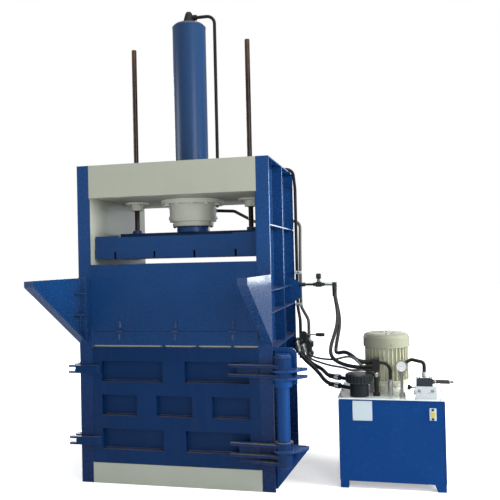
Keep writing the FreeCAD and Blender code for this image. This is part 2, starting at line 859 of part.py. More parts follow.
def arm_outline(tip):
    """Plan of a hinge arm plate, from its tip on the door to the hub."""
    return [(tip, "front"), (tip, "front - arm_tip_depth"),
            ("web_inner + arm_tip_depth", "front - arm_depth"), ("hinge_x", "front - hub_radius"),
            ("hinge_x", "front"), ("hinge_x - hub_radius + 1", "front - arm_clearance"),
            ("door_half", "front - arm_clearance"), ("door_half", "front")]


def hinge_arm(name, plates, hubs):
    """Arm plates on a strap, with hubs that turn on the hinge shaft."""
    pieces = []
    for index, (level, tip) in enumerate(plates):
        plate = padded(f"{name}_plate_{index}", "XY_Plane", arm_outline(tip), "arm_plate")
        pieces.append(place(plate, z=level))
    for index, (low, high) in enumerate(hubs):
        pieces.append(rod(f"{name}_hub_{index}", "hub_radius", f"({high}) - ({low})",
                          x="hinge_x", y="front", z=low))
    low, high = plates[0][0], f"{plates[-1][0]} + arm_plate"
    pieces.append(box(f"{name}_strap", ("web_inner - arm_length / 2", "door_half"),
                      ("front - strap_plate", "front"), (low, high)))
    bore = rod(f"{name}_bore", "shaft_radius + hub_fit", "shaft_top - shaft_bottom",
               x="hinge_x", y="front", z="shaft_bottom")
    keep(name, cut(name, fuse(f"{name}_welded", pieces), [bore]))


def hinge_arms():
    strap_end = "half_width - arm_length"
    claw_end = "half_width - post_width - 60"
    hinge_arm("upper_hinge_arm",
              [("upper_strap_low", strap_end), ("upper_strap_high", strap_end)],
              [("upper_lug_level + lug_plate + hub_gap", "third_lug_level - hub_gap"),
               ("third_lug_level + lug_plate + hub_gap", "upper_hub_top")])
    hinge_arm("lower_hinge_arm",
              [("claw_level", claw_end), ("lower_strap_low", strap_end), ("lower_strap_high", strap_end)],
              [("lower_hub_bottom", "lower_lug_level - hub_gap"),
               ("lower_lug_level + lug_plate + hub_gap", "lower_hub_top")])


def lug_plate(name, level):
    """Lug plate welded to the post, bored for the shaft, with an ear beyond it."""
    root = "web_inner + web_thickness"
    ear_x = "hinge_x + lug_reach"
    ear_y = "front + lug_ear_offset"
    body = padded(name, "XY_Plane",
                  [(root, "front + flange_thickness"), ("half_width", "front + flange_thickness"),
                   ("half_width", "front - hub_radius"), ("hinge_x + hub_radius", "front - hub_radius"),
                   (ear_x, f"{ear_y} - lug_ear_radius"), (ear_x, f"{ear_y} + lug_ear_radius"),
                   ("half_width", "front + gusset_setback + gusset_plate + 40"),
                   (root, "front + gusset_setback + gusset_plate + 40")], "lug_plate")
    for corner, (x, y, radius) in enumerate((
            ("half_width", "front - hub_radius", "hub_radius / 2"),
            ("hinge_x + hub_radius", "front - hub_radius", "hub_radius * 3 / 4"),
            (ear_x, f"{ear_y} - lug_ear_radius", "lug_ear_radius * 3 / 4"),
            (ear_x, f"{ear_y} + lug_ear_radius", "lug_ear_radius * 3 / 4"))):
        rounded(body, f"{name}_round_{corner}", radius, stands_at(x, y))
    return place(body, z=level)


def hinge_lugs():
    """Frame lugs that carry the shaft, each stack backed by a plate behind the shaft."""
    plate_y = "front + gusset_setback"
    root = "web_inner + web_thickness"
    ear_x = "hinge_x + lug_reach"
    lower = [lug_plate("lower_lug", "lower_lug_level")]
    foot = padded("lower_gusset", "XZ_Plane",
                  [(root, "0"), ("half_width", "0"), (ear_x, "lower_lug_level"),
                   (root, "lower_lug_level")], "gusset_plate", reverse=True)
    lower.append(place(foot, y=plate_y))
    upper = [lug_plate("upper_lug", "upper_lug_level"), lug_plate("third_lug", "third_lug_level")]
    upper.append(rod("lug_boss", "hub_radius", "upper_lug_level - lug_boss_bottom",
                     x="hinge_x", y="front", z="lug_boss_bottom"))
    back = padded("upper_gusset", "XZ_Plane",
                  [(root, "lug_boss_bottom"), ("half_width + upper_gusset_width", "lug_boss_bottom"),
                   ("half_width + upper_gusset_width", "upper_gusset_top"),
                   (root, "upper_gusset_top")], "gusset_plate", reverse=True)
    corner = Vector(size("half_width + upper_gusset_width"), 0, size("upper_gusset_top"))

    def top_corner(edge):
        return all(abs(v.Point.x - corner.x) < 0.5 and abs(v.Point.z - corner.z) < 0.5
                   for v in edge.Vertexes)
    rounded(back, "upper_gusset_corner", "upper_gusset_round", top_corner)
    upper.append(place(back, y=plate_y))
    notch = box("upper_gusset_notch", ("web_inner", "half_width"),
                (plate_y, f"{plate_y} + gusset_plate"),
                ("stiffener_door_level - stiffener_thickness", "stiffener_door_level"))
    solids = []
    for name, pieces, holes in (("lower_lugs", lower, []), ("upper_lugs", upper, [notch])):
        bore = rod(f"{name}_bore", "shaft_radius", "shaft_top - shaft_bottom",
                   x="hinge_x", y="front", z="shaft_bottom")
        solids.append(cut(f"{name}_bored", fuse(f"{name}_welded", pieces), holes + [bore]))
    keep("hinge_lugs", group("hinge_lugs", solids))


def hinge_shaft():
    keep("hinge_shaft", turned("hinge_shaft",
         [("0", "shaft_bottom"), ("shaft_radius - 4", "shaft_bottom"), ("shaft_radius", "shaft_bottom + 4"),
          ("shaft_radius", "shaft_top"), ("shaft_cap_radius", "shaft_top"),
          ("shaft_cap_radius", "shaft_top + shaft_cap_height - 4"),
          ("shaft_cap_radius - 4", "shaft_top + shaft_cap_height"),
          ("0", "shaft_top + shaft_cap_height")], x="hinge_x", y="front"))


# ---------------------------------------------------------------- door lock
LOCK_LEVELS = {"upper": "upper_lock_level", "lower": "lower_lock_level"}


def lock_clevises():
    """Pairs of plates on the left post, bored for the swing bolts' pins."""
    plates = []
    for name, level in LOCK_LEVELS.items():
        for half, low in (("below", f"{level} - clevis_gap / 2 - clevis_plate"),
                          ("above", f"{level} + clevis_gap / 2")):
            plate = padded(f"{name}_clevis_{half}", "XY_Plane",
                           [("-half_width", "clevis_y - clevis_width / 2"),
                            ("-half_width", "clevis_y + clevis_width / 2"),
                            ("-half_width - clevis_reach", "clevis_y + clevis_width / 2"),
                            ("-half_width - clevis_reach", "clevis_y - clevis_width / 2")],
                           "clevis_plate")
            for corner, sign in enumerate("-+"):
                rounded(plate, f"{name}_clevis_{half}_{corner}", "clevis_reach / 3",
                        stands_at("-half_width - clevis_reach", f"clevis_y {sign} clevis_width / 2"))
            place(plate, z=low)
            weld = box(f"{name}_clevis_{half}_root", ("-half_width", "-web_inner - web_thickness"),
                       ("clevis_y - clevis_width / 2", "clevis_y + clevis_width / 2"),
                       (low, f"{low} + clevis_plate"))
            bore = rod(f"{name}_clevis_{half}_bore", "lock_pin_radius", "clevis_plate + 2",
                       x="clevis_x", y="clevis_y", z=f"{low} - 1")
            plates.append(cut(f"{name}_clevis_{half}_bored", fuse(f"{name}_clevis_{half}_welded",
                                                                  [plate, weld]), [bore]))
    keep("lock_clevises", group("lock_clevises", plates))


def lock_pins():
    pins = []
    for name, level in LOCK_LEVELS.items():
        reach = "clevis_gap / 2 + clevis_plate"
        pins.append(turned(f"{name}_lock_pin",
                           [("0", f"{level} - ({reach}) - 8"),
                            ("lock_pin_radius", f"{level} - ({reach}) - 8"),
                            ("lock_pin_radius", f"{level} + {reach}"),
                            ("lock_pin_head", f"{level} + {reach}"),
                            ("lock_pin_head", f"{level} + {reach} + lock_pin_head_height"),
                            ("0", f"{level} + {reach} + lock_pin_head_height")],
                           x="clevis_x", y="clevis_y"))
    keep("lock_pins", group("lock_pins", pins))


def swing_bolts():
    """Eye bolts with a nut, swung back along the post."""
    for name, level in LOCK_LEVELS.items():
        pieces = [
            rod(f"{name}_eye", "eye_radius", "eye_height", x="clevis_x", y="clevis_y",
                z=f"{level} - eye_height / 2"),
            rod(f"{name}_shank", "bolt_radius", "bolt_length", x="clevis_x", y="clevis_y",
                z=level, axis="y"),
        ]
        nut = doc.addObject("Part::Prism", f"{name}_nut")
        nut.Polygon = 6
        bind(nut, Circumradius="nut_radius", Height="nut_height")
        nut.Placement = FreeCAD.Placement(Vector(), AXES["y"])
        pieces.append(place(nut, "clevis_x", "clevis_y + nut_distance", level))
        bore = rod(f"{name}_eye_bore", "lock_pin_radius + lock_pin_fit", "eye_height + 2",
                   x="clevis_x", y="clevis_y", z=f"{level} - eye_height / 2 - 1")
        node = f"{name}_swing_bolt"
        keep(node, cut(node, fuse(f"{name}_bolt_forged", pieces), [bore]))


def door_lock_lugs():
    """Slotted lugs on the door that reach across the left post to the swing bolts."""
    lugs = []
    tip = "-half_width - clevis_reach"
    for name, level in LOCK_LEVELS.items():
        face = "front - lock_lug_clearance"
        bar = padded(f"{name}_lock_lug", "XY_Plane",
                     [("-door_half", "front"), ("lock_lug_length - door_half", "front"),
                      ("lock_lug_length - door_half", f"{face} - lock_lug_plate / 2"),
                      ("lock_lug_length - door_half - 20", f"{face} - lock_lug_plate"),
                      (tip, f"{face} - lock_lug_plate"), (tip, face), ("-door_half", face)],
                     "lock_lug_height")
        place(bar, z=f"{level} - lock_lug_height / 2")
        slot = box(f"{name}_lock_slot", (f"{tip} - 1", "clevis_x + lock_slot / 2"),
                   (f"{face} - lock_lug_plate - 1", f"{face} + 1"),
                   (f"{level} - lock_slot / 2", f"{level} + lock_slot / 2"))
        lugs.append(cut(f"{name}_lock_lug_slotted", bar, [slot]))
    keep("door_lock_lugs", group("door_lock_lugs", lugs))


# ---------------------------------------------------------------- press cylinder
def cylinder():
    seat = "head_bottom - housing_seat"
    keep("cylinder_barrel", turned("cylinder_barrel",
         [("bore_radius", seat), ("barrel_radius", seat),
          ("barrel_radius", "barrel_top - barrel_chamfer"),
          ("barrel_radius - barrel_chamfer", "barrel_top"), ("0", "barrel_top"),
          ("0", "barrel_top - barrel_end"), ("bore_radius", "barrel_top - barrel_end")]))
    port = "barrel_top + port_height * 0.55"
    boss = rod("port_boss", "port_neck_radius - 4", "port_radius + 18", z=port, axis="x")
    cap = turned("port_cap",
         [("0", "barrel_top"), ("port_radius", "barrel_top"),
          ("port_radius", "barrel_top + port_height / 4"),
          ("port_neck_radius", "barrel_top + port_height - 12"),
          ("port_neck_radius - 8", "barrel_top + port_height"), ("0", "barrel_top + port_height")])
    keep("top_port_fitting", fuse("top_port_fitting", [cap, boss]))
    lip_top = "housing_bottom + housing_lip_height * 2"
    housing = turned("housing_body",
         [("rod_radius + running_fit", "housing_bottom"), ("housing_radius", "housing_bottom"),
          ("housing_radius", "housing_bottom + housing_lip_height"),
          ("housing_radius + housing_lip", "housing_bottom + housing_lip_height"),
          ("housing_radius + housing_lip", lip_top), ("housing_radius", lip_top),
          ("housing_radius", "head_bottom - cylinder_flange - 12"),
          ("housing_radius + 12", "head_bottom - cylinder_flange"),
          ("flange_radius", "head_bottom - cylinder_flange"), ("flange_radius", "head_bottom"),
          ("barrel_radius + housing_fit", "head_bottom"), ("barrel_radius + housing_fit", seat),
          ("bore_radius", seat), ("bore_radius", "housing_bottom + rod_guide"),
          ("rod_radius + running_fit", "housing_bottom + rod_guide")])
    side_boss = slanted_rod("housing_boss", "boss_radius", "boss_reach + 40",
                            ("(housing_radius - 40) * cos(45)", "(housing_radius - 40) * sin(45)", "boss_level"),
                            Vector(1, 1, 0))
    keep("gland_housing", fuse("gland_housing", [housing, side_boss]))
    keep("gland_ring", turned("gland_ring",
         [("rod_radius + gland_clearance", "gland_bottom"), ("gland_radius - 4", "gland_bottom"),
          ("gland_radius", "gland_bottom + 4"), ("gland_radius", "housing_bottom"),
          ("rod_radius + gland_clearance", "housing_bottom")]))
    bolts = []
    for name, top in (("flange", "head_bottom - cylinder_flange"), ("gland", "gland_bottom")):
        count = int(SIZES[f"{name}_bolt_count"])
        for index in range(count):
            angle = f"{360 * (index + 0.5) / count}"
            bolts.append(hex_head(f"{name}_bolt_{index}", f"{name}_bolt_size", f"{name}_bolt_head",
                                  f"{name}_bolt_circle * cos({angle})",
                                  f"{name}_bolt_circle * sin({angle})", f"{top} - {name}_bolt_head"))
    keep("cylinder_bolts", group("cylinder_bolts", bolts))


def guides():
    sides = (("left", "-guide_offset"), ("right", "guide_offset"))
    bushes, rods, collars = [], [], []
    for name, centre in sides:
        bushes.append(turned(f"{name}_bush",
                             [("guide_radius + bush_fit", "head_bottom - bush_length"),
                              ("bush_radius - 3", "head_bottom - bush_length"),
                              ("bush_radius", "head_bottom - bush_length + 3"),
                              ("bush_radius", "head_bottom - bush_flange"),
                              ("bush_flange_radius", "head_bottom - bush_flange"),
                              ("bush_flange_radius", "head_bottom"),
                              ("guide_radius + bush_fit", "head_bottom")], x=centre))
        rods.append(turned(f"{name}_guide",
                           [("0", "platen_beam_top"), ("guide_radius", "platen_beam_top"),
                            ("guide_radius", "guide_top - 3"), ("guide_radius - 3", "guide_top"),
                            ("0", "guide_top")], x=centre))
        collars.append(turned(f"{name}_collar",
                              [("guide_radius + collar_fit", "platen_beam_top"),
                               ("rod_collar_radius", "platen_beam_top"),
                               ("rod_collar_radius", "platen_beam_top + rod_collar_height - 4"),
                               ("rod_collar_radius - 4", "platen_beam_top + rod_collar_height"),
                               ("guide_radius + collar_fit", "platen_beam_top + rod_collar_height")],
                              x=centre))
    keep("guide_bushes", group("guide_bushes", bushes))
    keep("guide_rods", group("guide_rods", rods))
    collars.append(turned("ram_collar",
                          [("rod_radius + collar_fit", "platen_beam_top"),
                           ("collar_radius", "platen_beam_top"),
                           ("collar_radius", "platen_beam_top + collar_height - 4"),
                           ("collar_radius - 4", "platen_beam_top + collar_height"),
                           ("rod_radius + collar_fit", "platen_beam_top + collar_height")]))
    keep("ram_collars", group("ram_collars", collars))


# ---------------------------------------------------------------- ram and platen
def ram():
    piston_low = "piston_top - piston_height"
    keep("ram_rod", turned("ram_rod",
         [("0", "platen_beam_top"), ("rod_radius", "platen_beam_top"), ("rod_radius", piston_low),
          ("bore_radius - running_fit", piston_low), ("bore_radius - running_fit", "piston_top"),
          ("piston_nose_radius", "piston_top"), ("piston_nose_radius", "piston_top + piston_nose_height"),
          ("0", "piston_top + piston_nose_height")]))


def platen():
    """Welded press plate: grooved floor, rim, groove ribs and the beam under the ram."""
    wide = ("-platen_half", "platen_half")
    deep = ("-platen_depth_half", "platen_depth_half")
    tall = ("platen_bottom", "platen_top")
    pieces = [
        box("platen_floor", wide, deep, ("platen_bottom", "platen_bottom + platen_floor")),
        box("platen_front", wide, ("-platen_depth_half", "-platen_depth_half + platen_wall"), tall),
        box("platen_rear", wide, ("platen_depth_half - platen_wall", "platen_depth_half"), tall),
        box("platen_left", ("-platen_half", "-platen_half + platen_wall"), deep, tall),
        box("platen_right", ("platen_half - platen_wall", "platen_half"), deep, tall),
        box("platen_lip", wide, ("-platen_depth_half - platen_lip", "-platen_depth_half"),
            ("platen_bottom", "platen_bottom + platen_lip_height")),
        box("platen_beam_top", ("-platen_beam_length / 2", "platen_beam_length / 2"),
            ("-beam_half_width", "beam_half_width"), ("platen_beam_top - beam_top_plate", "platen_beam_top")),
    ]
    for index, (low, high) in enumerate((("-beam_half_width", "-beam_half_width + beam_web"),
                                         ("beam_half_width - beam_web", "beam_half_width"))):
        pieces.append(box(f"platen_beam_web_{index}",
                          ("-platen_beam_length / 2", "platen_beam_length / 2"), (low, high),
                          ("platen_bottom", "platen_beam_top - beam_top_plate")))
    for index, side in enumerate((-1, 1)):
        pieces.append(side_box(f"platen_step_{index}", side, ("platen_half - platen_step_length", "platen_half"),
                               ("-platen_depth_half", "-platen_depth_half + platen_wall"),
                               ("platen_top", "platen_top + platen_step_height")))
    grooves = []
    for index, centre in enumerate(("-groove_outer", "-groove_inner", "groove_inner", "groove_outer")):
        rib = "groove_width / 2 + groove_wall"
        pieces.append(box(f"platen_rib_{index}", (f"{centre} - ({rib})", f"{centre} + {rib}"), deep, tall))
        grooves.append(box(f"platen_groove_{index}",
                           (f"{centre} - groove_width / 2", f"{centre} + groove_width / 2"),
                           ("-platen_depth_half - platen_lip - 1", "platen_depth_half + 1"),
                           ("platen_bottom - 1", "platen_bottom + groove_height")))
    keep("platen", cut("platen", fuse("platen_welded", pieces), grooves))


# ---------------------------------------------------------------- lines and valves on the tower
def pressure_lines():
    """Two bent steel pipes from the cylinder to the directional valve."""
    x_first, x_second = size("line_x"), size("line_x + line_pitch")
    y_back = size("back - line_radius")
    y_valve = size("valve_back - line_edge_gap")
    run = size("line_top_run")
    y_out = size("back + line_bow")
    low = size("valve_high + line_entry_rise")
    entry = size("valve_high + line_bend_rise")
    shift = size("line_entry_shift")
    port = size("barrel_top + port_height * 0.55")
    boss = size("port_radius + 18")
    top = size("valve_top")
    radius, bend = size("line_radius"), size("line_bend")
    across = size("barrel_radius + 77")
    tube("top_pipe", [(boss, 0, port), (across, 0, port), (across, 0, run), (across, 300, run),
                      (x_first, 400, run), (x_first, y_back, size("tower_height - line_upper_drop")),
                      (x_first, y_back, low), (x_first + shift, y_valve, entry),
                      (x_first + shift, y_valve, top)], radius, bend)
    side = size("(housing_radius + boss_reach) * cos(45)")
    level = size("boss_level")
    crossing = size("boss_level - line_crossing_drop")
    middle = size("boss_level - line_middle_drop")
    tube("gland_pipe", [(side, side, level), (side + 120, side + 120, level),
                        (side + 232, y_out, crossing), (x_second, y_out, crossing),
                        (x_second, y_back + 22, middle), (x_second, y_back, middle - 200),
                        (x_second, y_back, low), (x_second + shift + 40, y_valve, entry),
                        (x_second + shift + 40, y_valve, top)], radius, bend)


def needle_valve():
    """Pipe run out from the gusset: union, needle valve body, and tee for the hoses."""
    start = "half_width + gusset_reach"
    level = "gauge_line_level"
    body = "half_width + needle_valve_reach"
    tee = "half_width + tee_reach"
    pieces = [
        rod("line_union", "16", "34", x=f"{start}", y="valve_mid", z=level, axis="x"),
        rod("line_inner", "stem_radius", f"({tee}) - ({start})", x=start, y="valve_mid", z=level, axis="x"),
        box("needle_body", (f"{body} - 22", f"{body} + 22"), ("valve_mid - 18", "valve_mid + 18"),
            (f"{level} - 20", f"{level} + 20")),
        cut("needle_bonnet", rod("bonnet", "bonnet_radius", "bonnet_height", x=body, y="valve_mid",
                                 z=f"{level} + 20"),
            [rod("bonnet_bore", "stem_radius / 1.5 + running_fit", "bonnet_height", x=body,
                 y="valve_mid", z=f"{level} + 24")]),
        rod("needle_nut_left", "14", "22", x=f"{body} - 44", y="valve_mid", z=level, axis="x"),
        rod("needle_nut_right", "14", "22", x=f"{body} + 22", y="valve_mid", z=level, axis="x"),
        box("tee_body", (f"{tee} - 16", f"{tee} + 16"), ("valve_mid - 16", "valve_mid + 54"),
            (f"{level} - 14", f"{level} + 14")),
        rod("tee_outlet_front", "17", "22", x=tee, y="valve_mid", z=f"{level} - 36"),
        rod("tee_outlet_rear", "17", "22", x=tee, y="valve_mid + 38", z=f"{level} - 36"),
    ]
    keep("needle_valve", fuse("needle_valve", pieces))
    low = f"{level} + 20 + bonnet_height + 0.5"
    keep("needle_knob", turned("needle_knob",
         [("0", f"{level} + 26"), ("stem_radius / 1.5", f"{level} + 26"), ("stem_radius / 1.5", low),
          ("knob_radius * 0.8", low), ("knob_radius", f"{low} + 5"),
          ("knob_radius", f"{low} + knob_height - 5"), ("knob_radius - 5", f"{low} + knob_height"),
          ("0", f"{low} + knob_height")], x=body, y="valve_mid"))


def directional_valve():
    """Valve block on its bracket, with a cap on top, end covers and two hose elbows."""
    across = ("valve_left", "valve_left + valve_width")
    deep = ("valve_front", "valve_back")
    block = padded("valve_block", "XZ_Plane",
                   [("valve_left", "valve_low + 40"), ("valve_left + valve_width", "valve_low + 40"),
                    ("valve_left + valve_width", "valve_top - 34"), ("valve_left + valve_width - 16", "valve_top"),
                    ("valve_left", "valve_top")], "valve_depth", reverse=True)
    pieces = [
        place(block, y="valve_front"),
        box("valve_foot", ("valve_left + 28", "valve_left + valve_width"), deep,
            ("valve_low", "valve_low + 40")),
        rod("valve_cover_upper", "24", "14", x="valve_left + valve_width", y="valve_mid",
            z="valve_high - 78", axis="x"),
        rod("valve_cover_lower", "20", "12", x="valve_left + valve_width", y="valve_mid",
            z="valve_high - 150", axis="x"),
    ]
    for index, (offset, level) in enumerate((("16", "valve_high - 60"), ("64", "valve_high - 86"))):
        x = f"valve_left + {offset}"
        pieces.append(rod(f"elbow_neck_{index}", "14", "30", x=x, y="valve_front - 30", z=level, axis="y"))
        pieces.append(slanted_rod(f"elbow_drop_{index}", "17", "40", (x, "valve_front - 30", level),
                                  Vector(0.3, -0.4, -0.866)))
    for index, level in enumerate(("valve_low + 42", "valve_low + 14")):
        pieces.append(rod(f"small_port_{index}", "8", "16", x="valve_left + valve_width - 10",
                          y="valve_front - 16", z=level, axis="y"))
    yoke_x = "valve_left + 62"
    for index, (low, high, radius) in enumerate((("valve_front", "valve_mid - 8", "lever_dome_radius"),
                                                 ("valve_mid + 8", "valve_mid + 16", "lever_dome_radius - 12"))):
        pieces.append(rod(f"lever_dome_{index}", radius, f"{high} - ({low})", x=yoke_x, y=low,
                          z="lever_level", axis="y"))
        pieces.append(box(f"lever_dome_root_{index}", (f"{yoke_x} - ({radius})", f"{yoke_x} + ({radius})"),
                          (low, high), ("valve_top", "lever_level")))
    pin = rod("yoke_pin", "lever_pin_radius - 1", "32", x=yoke_x, y="valve_mid - 16",
              z="lever_level", axis="y")
    keep("directional_valve", fuse("directional_valve", pieces + [pin]))
    lever = [
        rod("lever_eye", "11", "15", x=yoke_x, y="valve_mid - 7.5", z="lever_level", axis="y"),
        rod("lever_shank", "lever_radius", "lever_length", x=f"{yoke_x} + 5", y="valve_mid",
            z="lever_level", axis="x"),
        rod("lever_grip", "lever_knob_radius", "lever_knob_length", x=f"{yoke_x} + lever_length",
            y="valve_mid", z="lever_level", axis="x"),
    ]
    bore = rod("lever_bore", "lever_pin_radius - 0.95", "20", x=yoke_x, y="valve_mid - 10",
               z="lever_level", axis="y")
    keep("valve_lever", cut("valve_lever", fuse("lever_forged", lever), [bore]))


# ---------------------------------------------------------------- power pack
def tank():
    """Open welded tank on four feet, closed by its lid."""
    right, rear = "tank_left + tank_width", "tank_front + tank_depth"
    shell = box("tank_shell", ("tank_left", right), ("tank_front", rear), ("tank_bottom", "tank_top"))
    inside = box("tank_inside", ("tank_left + tank_wall", f"{right} - tank_wall"),
                 ("tank_front + tank_wall", f"{rear} - tank_wall"),
                 ("tank_bottom + tank_wall", "tank_top + 1"))
    pieces = [cut("tank_box", shell, [inside])]
    for column, taper in enumerate(("0", "foot_taper")):
        profile = [("0", "0"), ("foot_width", "0"), ("foot_width", "tank_bottom"),
                   (f"-{taper}", "tank_bottom")]
        x = "tank_left" if column == 0 else f"{right} - foot_width"
        for line in range(2):
            foot = padded(f"tank_foot_{column}_{line}", "XZ_Plane", profile, "foot_width", reverse=True)
            y = "tank_front" if line == 0 else f"{rear} - foot_width"
            pieces.append(place(foot, x, y, "0"))
    keep("tank", fuse("tank", pieces))
    keep("tank_lid", box("tank_lid", ("tank_left - lid_overhang", f"{right} + lid_overhang"),
                         ("tank_front - lid_overhang", f"{rear} + lid_overhang"), ("lid_bottom", "lid_top")))


def motor():
    """Flange motor on a bell housing, with cooling fins and a slotted fan cowl."""
    keep("bell_housing", turned("bell_housing",
         [("0", "lid_top"), ("bell_flange", "lid_top"), ("bell_flange", "lid_top + bell_flange_height"),
          ("bell_radius", "lid_top + bell_flange_height"), ("bell_radius", "bell_top - bell_flange_height"),
          ("bell_flange", "bell_top - bell_flange_height"), ("bell_flange", "bell_top"), ("0", "bell_top")],
         x="motor_x", y="motor_y"))
    fin_low, fin_high = "bell_top + motor_shield", "bell_top + motor_height - motor_shield / 2"
    core = turned("motor_core",
                  [("0", "bell_top"), ("motor_fin_radius - 2", "bell_top"),
                   ("motor_fin_radius - 2", fin_low), ("motor_core_radius", fin_low),
                   ("motor_core_radius", "bell_top + motor_height"), ("0", "bell_top + motor_height")],
                  x="motor_x", y="motor_y")
    pieces = [core]
    count = int(SIZES["motor_fin_count"])
    for index in range(count // 2):
        pieces.append(spoke(f"motor_fin_{index}", ("motor_x", "motor_y"), 360 * (index + 0.5) / count,
                            ("-motor_fin_radius", "motor_fin_radius"), "motor_fin_width",
                            (fin_low, fin_high)))
    pieces.append(box("terminal_box", ("motor_x - 55", "motor_x + 55"),
                      ("motor_y + motor_core_radius - 6", "motor_y + motor_fin_radius + 60"),
                      ("bell_top + 78", "bell_top + 173")))
    keep("motor_body", fuse("motor_body", pieces))
    low, high = "cowl_bottom", "cowl_bottom + cowl_height"
    shell = turned("cowl_shell",
                   [("motor_core_radius", low), ("cowl_radius", low), ("cowl_radius", f"{high} - cowl_round"),
                    ("cowl_radius - cowl_round * 0.3", f"{high} - cowl_round * 0.3"),
                    ("cowl_radius - cowl_round", high), ("0", high), ("0", f"{high} - cowl_wall"),
                    ("cowl_radius - cowl_round", f"{high} - cowl_wall"),
                    ("cowl_radius - cowl_wall", f"{high} - cowl_round"),
                    ("cowl_radius - cowl_wall", f"{low} + cowl_wall"),
                    ("motor_core_radius", f"{low} + cowl_wall")], x="motor_x", y="motor_y")
    slots = []
    for index in range(int(SIZES["cowl_slot_count"])):
        slots.append(spoke(f"cowl_slot_{index}", ("motor_x", "motor_y"),
                           360 * index / SIZES["cowl_slot_count"], ("cowl_slot_inner", "cowl_slot_outer"),
                           "cowl_slot_width", (f"{high} - cowl_wall - 1", f"{high} + 1")))
    keep("fan_cowl", cut("fan_cowl", shell, slots))


def return_filter():
    """Filter bowl with a lobed cap and two hose connectors on its left."""
    cap_low = "lid_top + filter_height"
    cap_high = f"{cap_low} + filter_cap_height"
    pieces = [turned("filter_bowl",
                     [("0", "lid_top"), ("filter_radius", "lid_top"), ("filter_radius", cap_low),
                      ("filter_cap_radius - filter_cap_round", cap_low),
                      ("filter_cap_radius", f"{cap_low} + filter_cap_round"),
                      ("filter_cap_radius", f"{cap_high} - filter_cap_round"),
                      ("filter_cap_radius - filter_cap_round", cap_high), ("0", cap_high)],
                     x="filter_x", y="filter_y")]
    for index in range(int(SIZES["filter_lobe_count"])):
        angle = 360 * index / SIZES["filter_lobe_count"]
        pieces.append(rod(f"filter_lobe_{index}", "filter_lobe_radius",
                          "filter_cap_height - 2 * filter_cap_round",
                          x=f"filter_x + (filter_cap_radius - 2) * cos({angle})",
                          y=f"filter_y + (filter_cap_radius - 2) * sin({angle})",
                          z=f"{cap_low} + filter_cap_round"))
    way = Vector(-math.cos(math.radians(40)), math.sin(math.radians(40)), 0)
    for index, level in enumerate(("lid_top + 41", "lid_top + 100")):
        pieces.append(slanted_rod(f"filter_port_{index}", "13", "filter_port_reach",
                                  ("filter_x", "filter_y", level), way))
        start = (f"filter_x - (filter_port_reach - 46) * cos(40)",
                 f"filter_y + (filter_port_reach - 46) * sin(40)", level)
        pieces.append(slanted_rod(f"filter_union_{index}", "20", "46", start, way))
    keep("return_filter", fuse("return_filter", pieces))


def manifold():
    """Port block on a riser, with unions on its left for the hoses."""
    low, high = "manifold_low", "manifold_high"
    left = "manifold_x - manifold_width / 2"
    pieces = [
        box("manifold_body", (left, "manifold_x + manifold_width / 2"),
            ("manifold_y - manifold_depth / 2", "manifold_y + manifold_depth / 2"), (low, high)),
        rod("manifold_riser", "riser_radius", f"{low} - lid_top + 2", x="manifold_x", y="manifold_y",
            z="lid_top"),
        rod("manifold_riser_nut", "riser_radius + 8", "20", x="manifold_x", y="manifold_y", z="lid_top"),
    ]
    for index, (radius, level, across) in enumerate((("17", "20", "0"), ("17", "58", "0"),
                                                     ("10", "32", "-28"), ("10", "8", "-28"))):
        pieces.append(rod(f"manifold_union_{index}", radius, "26", x=f"{left} - 24",
                          y=f"manifold_y + {across}", z=f"{low} + {level}", axis="x"))
    keep("manifold_block", fuse("manifold_block", pieces))


def gauge():
    """Pressure gauge on a stem, with its dial sunk behind the bezel and a pointer on a pin."""
    face = "gauge_y - gauge_depth / 2"
    case = rod("gauge_case", "gauge_radius", "gauge_depth", x="gauge_x", y=face, z="gauge_z", axis="y")
    dial = rod("gauge_recess", "gauge_radius - gauge_bezel", "gauge_dial_recess + 1",
               x="gauge_x", y=f"{face} - 1", z="gauge_z", axis="y")
    pieces = [
        cut("gauge_cup", case, [dial]),
        rod("gauge_stem", "stem_radius", "gauge_z - gauge_radius + 6 - lid_top", x="gauge_x", y="gauge_y",
            z="lid_top"),
        rod("gauge_stem_nut", "stem_radius + 6", "22", x="gauge_x", y="gauge_y",
            z="gauge_z - gauge_radius - 24"),
        rod("gauge_foot", "stem_radius + 10", "26", x="gauge_x", y="gauge_y", z="lid_top"),
        rod("pointer_pin", "needle_bore_radius", "gauge_dial_recess", x="gauge_x", y=f"{face} + 1",
            z="gauge_z", axis="y"),
    ]
    keep("gauge_body", fuse("gauge_body", pieces))
    plane = f"{face} + gauge_dial_recess - 0.3 - needle_thickness"
    hub = rod("pointer_hub", "needle_hub_radius", "needle_thickness", x="gauge_x", y=plane,
              z="gauge_z", axis="y")
    hand = box("pointer_hand", ("gauge_x - needle_length", "gauge_x + needle_hub_radius + 4"),
               (plane, f"{plane} + needle_thickness"),
               ("gauge_z - needle_width / 2", "gauge_z + needle_width / 2"))
    bore = rod("pointer_bore", "needle_bore_radius + needle_fit", "needle_thickness + 2", x="gauge_x",
               y=f"{plane} - 1", z="gauge_z", axis="y")
    keep("gauge_needle", cut("gauge_needle", fuse("pointer_blank", [hub, hand]), [bore]))


